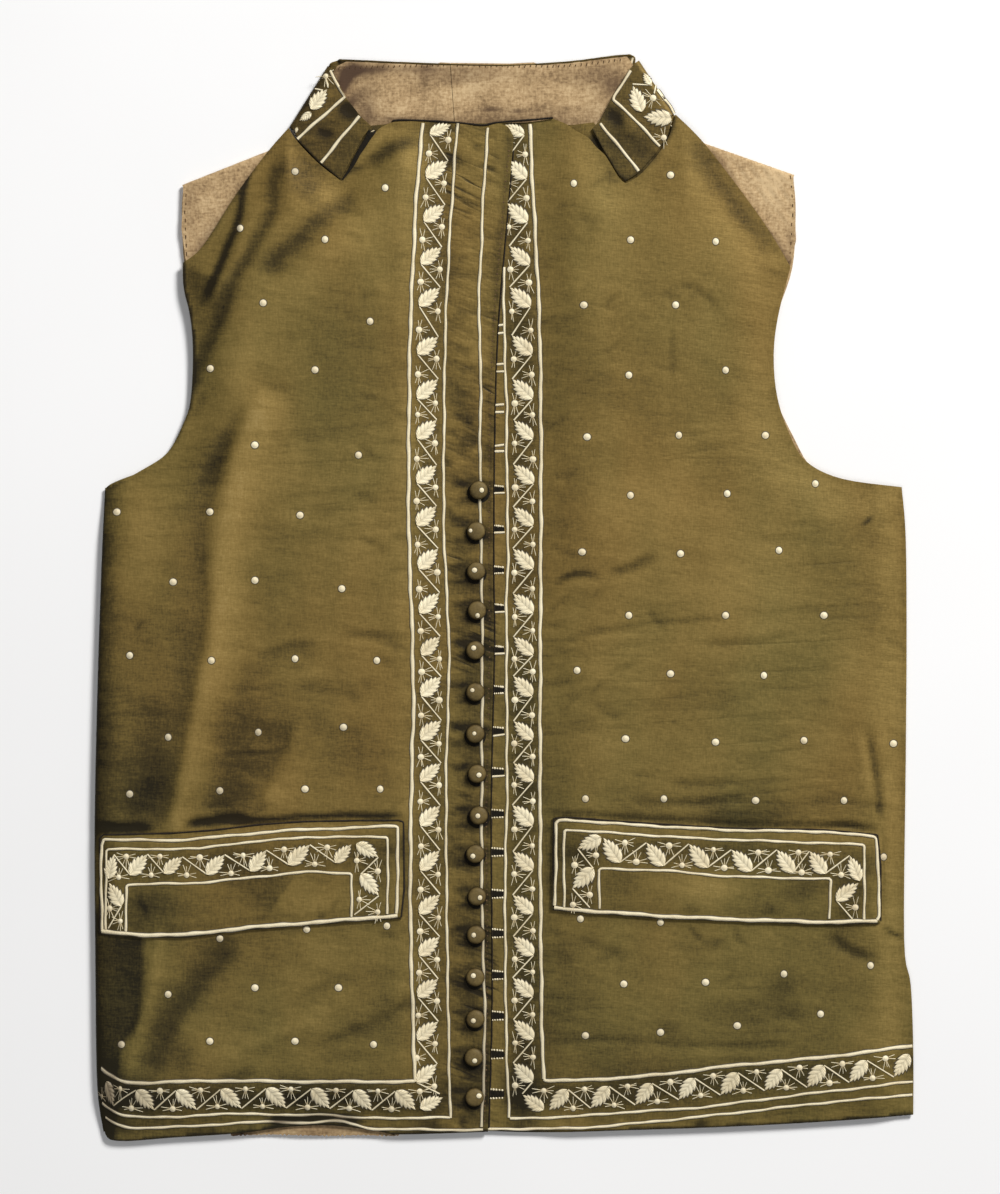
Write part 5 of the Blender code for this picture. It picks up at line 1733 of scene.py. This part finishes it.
# How much wider the rings are drawn than the button, since rounding draws them in again.
FULLNESS = 1.06
GATHER = 0.04


def button_material():
    """The fronts' silk drawn tight over a mould, a little rubbed, with painted shade darkening its
    foot.
    """
    material, tree, shader, where = start_material("button_silk")
    worn = grain(tree, where, 120, detail=4)
    fine = grain(tree, where, 800)
    tone = sum_of(tree, (reading(tree, "foot"), -1.1), (worn, 0.6), (fine, 0.35), 0.16)
    colour = colours_by(tree, tone, (0.0, 0.010, 0.007, 0.004), (0.35, 0.056, 0.038, 0.014),
                        (0.7, 0.155, 0.110, 0.040), (1.0, 0.26, 0.195, 0.080))
    height = sum_of(tree, (plain_weave(tree, where, 0.6), 0.3), (worn, 1.2))
    dress(shader, colour, 0.55, 0.15, (height, 0.3, 0.3))
    return material


def covered_button(low, high):
    """One covered button in its box: rings drawn up from its foot, gathered below."""
    radius = (high[0] - low[0]) / 2 * FULLNESS
    middle = ((low[0] + high[0]) / 2, (low[1] + high[1]) / 2)
    height = high[2] - low[2]
    bpy.ops.object.select_all(action="DESELECT")
    bpy.ops.mesh.primitive_circle_add(vertices=BUTTON_SIDES, radius=radius * BUTTON_RINGS[0][1],
                                      fill_type="NGON", location=(*middle, low[2]))
    button = bpy.context.object
    bpy.ops.object.mode_set(mode="EDIT")
    bpy.ops.mesh.select_all(action="SELECT")
    for (below, inner), (above, outer) in zip(BUTTON_RINGS, BUTTON_RINGS[1:]):
        bpy.ops.mesh.extrude_region_move(
            TRANSFORM_OT_translate={"value": (0, 0, (above - below) * height)})
        bpy.ops.transform.resize(value=(outer / inner, outer / inner, 1))
    bpy.ops.mesh.poke()
    bpy.ops.mesh.select_all(action="SELECT")
    bpy.ops.mesh.normals_make_consistent(inside=False)
    bpy.ops.object.mode_set(mode="OBJECT")
    bpy.ops.object.transform_apply(location=True, rotation=True, scale=True)
    for vertex in button.data.vertices:
        offset = vertex.co - Vector((*middle, low[2]))
        part = offset.z / height
        angle = math.atan2(offset.y, offset.x)
        gather = 1 - GATHER * (1 - part) ** 2 * (1 + math.cos(angle * BUTTON_SIDES / 2))
        vertex.co.x = middle[0] + offset.x * gather
        vertex.co.y = middle[1] + offset.y * gather
    rounder = button.modifiers.new("rounder", "SUBSURF")
    rounder.levels = rounder.render_levels = 1
    bpy.ops.object.modifier_apply(modifier=rounder.name)
    bpy.ops.object.shade_smooth()
    return button


button_silk = button_material()
buttons = []
for number, shift in zip(BUTTONS, BUTTON_DOTS):
    middle, low, high = middle_and_box(f"button_{number:02d}")
    if not buttons:
        first_low = low
        button = covered_button(low, high)
        button.data.materials.append(button_silk)
        # The lower part of each button is marked for its painted shade.
        part = (coordinates_of(button)[1] * MM - low[2]) / (high[2] - low[2])
        add_tone(button, "foot", np.clip(1 - part * 1.25, 0, 1))
    else:
        button = bpy.data.objects.new("button", buttons[0].data.copy())
        bpy.context.scene.collection.objects.link(button)
        for vertex in button.data.vertices:
            vertex.co += Vector((low - first_low).tolist())
    button.name = f"covered_button_{number:02d}"
    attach(button, "root")
    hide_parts(f"button_{number:02d}")
    buttons.append(button)
    work = new_work()
    full, lift = (0.8, 0.3) if number in FAINT_DOTS else (1, 0.45)
    sew_dot(work, tuple(middle + shift), DOT_RADIUS * full, lift)
    finish_work(f"button_dot_{number:02d}", work, button, floss)

# ----------------------------------------
# The plain hand sewing: prick stitches down the front edge, brown linen thread
# round the shoulders' armholes and along the collar, dark whipping at the hem.

PRICKED, PRICK_GAP, PRICK_INSET = (6, 590), 3.1, 2.4
SHADOW_DISC_RADIUS = 4.9
FELL_RIGHT = ((-190.6, 562), (-191.4, 548), (-190.4, 522))
FELL_LEFT = ((172.2, 573), (173.4, 553), (171.4, 522))
COLLAR_FELL = ((-99, 638.6), (-62, 639.9), (-32, 640.3), (4, 639.9), (40, 640.3), (70, 643.8))
COLLAR_END_SHADOW = ((-78, 602.5), (-81.5, 596), (-86.5, 588), (-92, 578), (-97, 571))
COLLAR_FRAYS = (((-79.5, 603.4), (-74.4, 602.6)), ((-77.4, 604.8), (-72.8, 604.6)),
                ((-78.8, 601), (-76.4, 599.2)), ((-79.8, 599.8), (-77.6, 600.9)))
WELT_EDGES = (
    ((-241.8, 119.6), (-241.9, 176.8), (-239.7, 178.6), (-199, 179.6), (-172.6, 181.5),
     (-146, 184.8), (-120, 186.6), (-86, 187.2), (-62.4, 187.2), (-60, 186.2), (-59.6, 146),
     (-61.4, 129.5)),
    ((30, 135), (30, 188), (37.5, 189), (76.5, 186), (134, 182.5), (191.5, 181.5), (224, 178.5),
     (226, 160), (226, 127)),
)
NECK_EDGE = ((-84, 604.6), (-74, 604.2), (-62, 607), (-29, 605.6), (-13, 604), (-4, 605.6),
             (14.5, 607), (29.5, 608.4))
HEM_WHIPS = ((-164, 2), (-162, -0.5), (-160.4, 1.2), (-158.6, -1), (-70, -0.8), (-67.5, -1.6))

# The black thread serves for the hem's whipping, and for painted shadow lines.
brown_thread = dark_thread_material("brown_thread", (0.060, 0.034, 0.016),
                                    (0.15, 0.088, 0.042))
black_thread_and_shadow = dark_thread_material("dark_thread_and_shadow", (0.010, 0.007, 0.005), (0.03, 0.022, 0.014))


def sew_running(work, curve, gap, length, slant=0.0):
    """Short stitches along a line, each a little out of true."""
    spots, left, _ = spaced_along(curve_through(curve, 6), gap)
    for spot, side in zip(spots, left):
        ahead = np.array((side[1], -side[0]))
        way = ahead * math.cos(slant) + side * math.sin(slant)
        middle = spot + side * stitch_draw.uniform(-0.25, 0.25)
        half = length / 2 * stitch_draw.uniform(0.7, 1.25)
        sew_ray(work, middle - way * half, middle + way * half, 0.85)


def lay_cord(name, cloth, thread, curve, width, height, **more):
    """A single cord, as a piece of its own."""
    work = new_work()
    sew_cord(work, curve, width, height, **more)
    return finish_work(name, work, cloth, thread)


prick = new_work()
for up in np.arange(*PRICKED, PRICK_GAP):
    across = front_edge(up) - PRICK_INSET + stitch_draw.uniform(-0.3, 0.3)
    sew_dot(prick, (across, up + stitch_draw.uniform(-0.5, 0.5)),
            stitch_draw.uniform(0.3, 0.45), 0.2, 6)
prick_stitches = finish_work("front_edge_prick_stitches", prick, right_front, brown_thread)

# A dark cord down the front edge, and one along the neck: painted shadow lines beneath edges that lie
# over other cloth.
edge_shadow_cord = lay_cord("front_edge_shadow_cord", left_front, black_thread_and_shadow,
                     [(front_edge(up) + 0.45, up) for up in range(1, 590, 14)], 0.85, 0.7)
neck_shadow_cord = lay_cord("neck_shadow_cord", right_front, black_thread_and_shadow, NECK_EDGE, 0.9, 0.6)

# Dark discs beneath the buttons, painted shadow at their lower left, and a dark tapering stroke
# beside the collar's end, painted shadow in that corner.
shadow_discs = new_work()
for button in buttons:
    middle = np.mean([corner[:] for corner in button.bound_box], axis=0)[:2] / MM
    sew_dot(shadow_discs, (middle[0] - 0.2, middle[1] + HEM_TO_MIDDLE - 1.5), SHADOW_DISC_RADIUS, 0.35, 18)
button_seats = finish_work("button_seats", shadow_discs, right_front, shade_material)
collar_end_shadow = lay_cord("collar_end_shadow", right_front, shade_material, COLLAR_END_SHADOW, 3.2, 0.3,
                          taper=0.8)
frays = new_work()
for start, end in COLLAR_FRAYS:
    sew_ray(frays, start, end, 0.8)
collar_frays = finish_work("collar_frays", frays, right_front, floss)

# Dark cords round the welts' edges: painted shadow lines where the welts stand off the fronts.
welt_shadow_cords = [lay_cord(side + "_welt_edge_shadow_cord", welt, black_thread_and_shadow, edge, 0.8, 0.4, smooth=False)
              for side, welt, edge in zip(("right", "left"), (right_welt, left_welt), WELT_EDGES)]

felling = new_work()
sew_running(felling, FELL_RIGHT, 4.9, 1.9)
sew_running(felling, FELL_LEFT, 5.6, 1.7)
shoulder_stitches = finish_work("shoulder_felling", felling, back, brown_thread)

for lining, (first, last) in zip(collar_linings, ((-99, -32.6), (-31.2, 72))):
    felling = new_work()
    sew_running(felling, [spot for spot in curve_through(COLLAR_FELL, 8)
                          if first <= spot[0] <= last], 3.4, 1.5, slant=1.2)
    name = lining.name.replace("linen", "felling")
    finish_work(name, felling, lining, brown_thread)

whips = new_work()
for across, up in HEM_WHIPS:
    sew_ray(whips, (across, up), (across + 2.6, up + stitch_draw.uniform(-1.4, 1.0)), 0.7)
hem_whips = finish_work("hem_whipping", whips, hem_lining, black_thread_and_shadow)

# ----------------------------------------
# The table it lies on, soft studio light and the camera straight above.

TABLE_LEVEL = -0.0002
CAMERA_PLACE = (-0.00225, 0.00015)
CAMERA_HEIGHT = 2.0
CLOTH_HEIGHT = 0.005
VIEW_HEIGHT = 0.7164
SENSOR = 36.0


def table_material():
    """Pale matt board."""
    material, tree, shader, where = start_material("pale_board")
    clouds = grain(tree, where, 3)
    colour = colours_by(tree, clouds, (0.3, 0.91, 0.91, 0.915), (0.7, 0.94, 0.94, 0.945))
    dress(shader, colour, 0.95, 0.1)
    return material


bpy.ops.object.select_all(action="DESELECT")
bpy.ops.mesh.primitive_plane_add(size=9.0, location=(0, 0, TABLE_LEVEL))
table = bpy.context.object
table.name = "table"
bpy.ops.object.transform_apply(location=True, rotation=True, scale=True)
table.data.materials.append(table_material())


def add_light(name, place, size, power, colour):
    """A square soft light that faces the waistcoat."""
    bpy.ops.object.light_add(type="AREA", location=place)
    light = bpy.context.object
    light.name = name
    light.data.size = size
    light.data.energy = power
    light.data.color = colour
    light.rotation_euler = (-Vector(place)).to_track_quat("-Z", "Y").to_euler()


add_light("window", (2.2, 2.9, 2.9), 1.3, 262, (1.0, 0.99, 0.97))
add_light("overhead", (-0.9, -1.3, 3.6), 2.2, 30, (1.0, 1.0, 1.0))

world = bpy.data.worlds.new("studio")
world.use_nodes = True
join_inputs(world.node_tree.nodes["Background"], {"Color": (0.97, 0.98, 1.0, 1.0),
                                                  "Strength": 0.12})
bpy.context.scene.world = world
bpy.context.scene.view_settings.view_transform = "Standard"

bpy.ops.object.camera_add(location=(*CAMERA_PLACE, CAMERA_HEIGHT + CLOTH_HEIGHT))
camera = bpy.context.object
camera.data.sensor_fit = "VERTICAL"
camera.data.sensor_height = SENSOR
camera.data.lens = SENSOR * CAMERA_HEIGHT / VIEW_HEIGHT
camera.data.clip_end = 20.0
bpy.context.scene.camera = camera
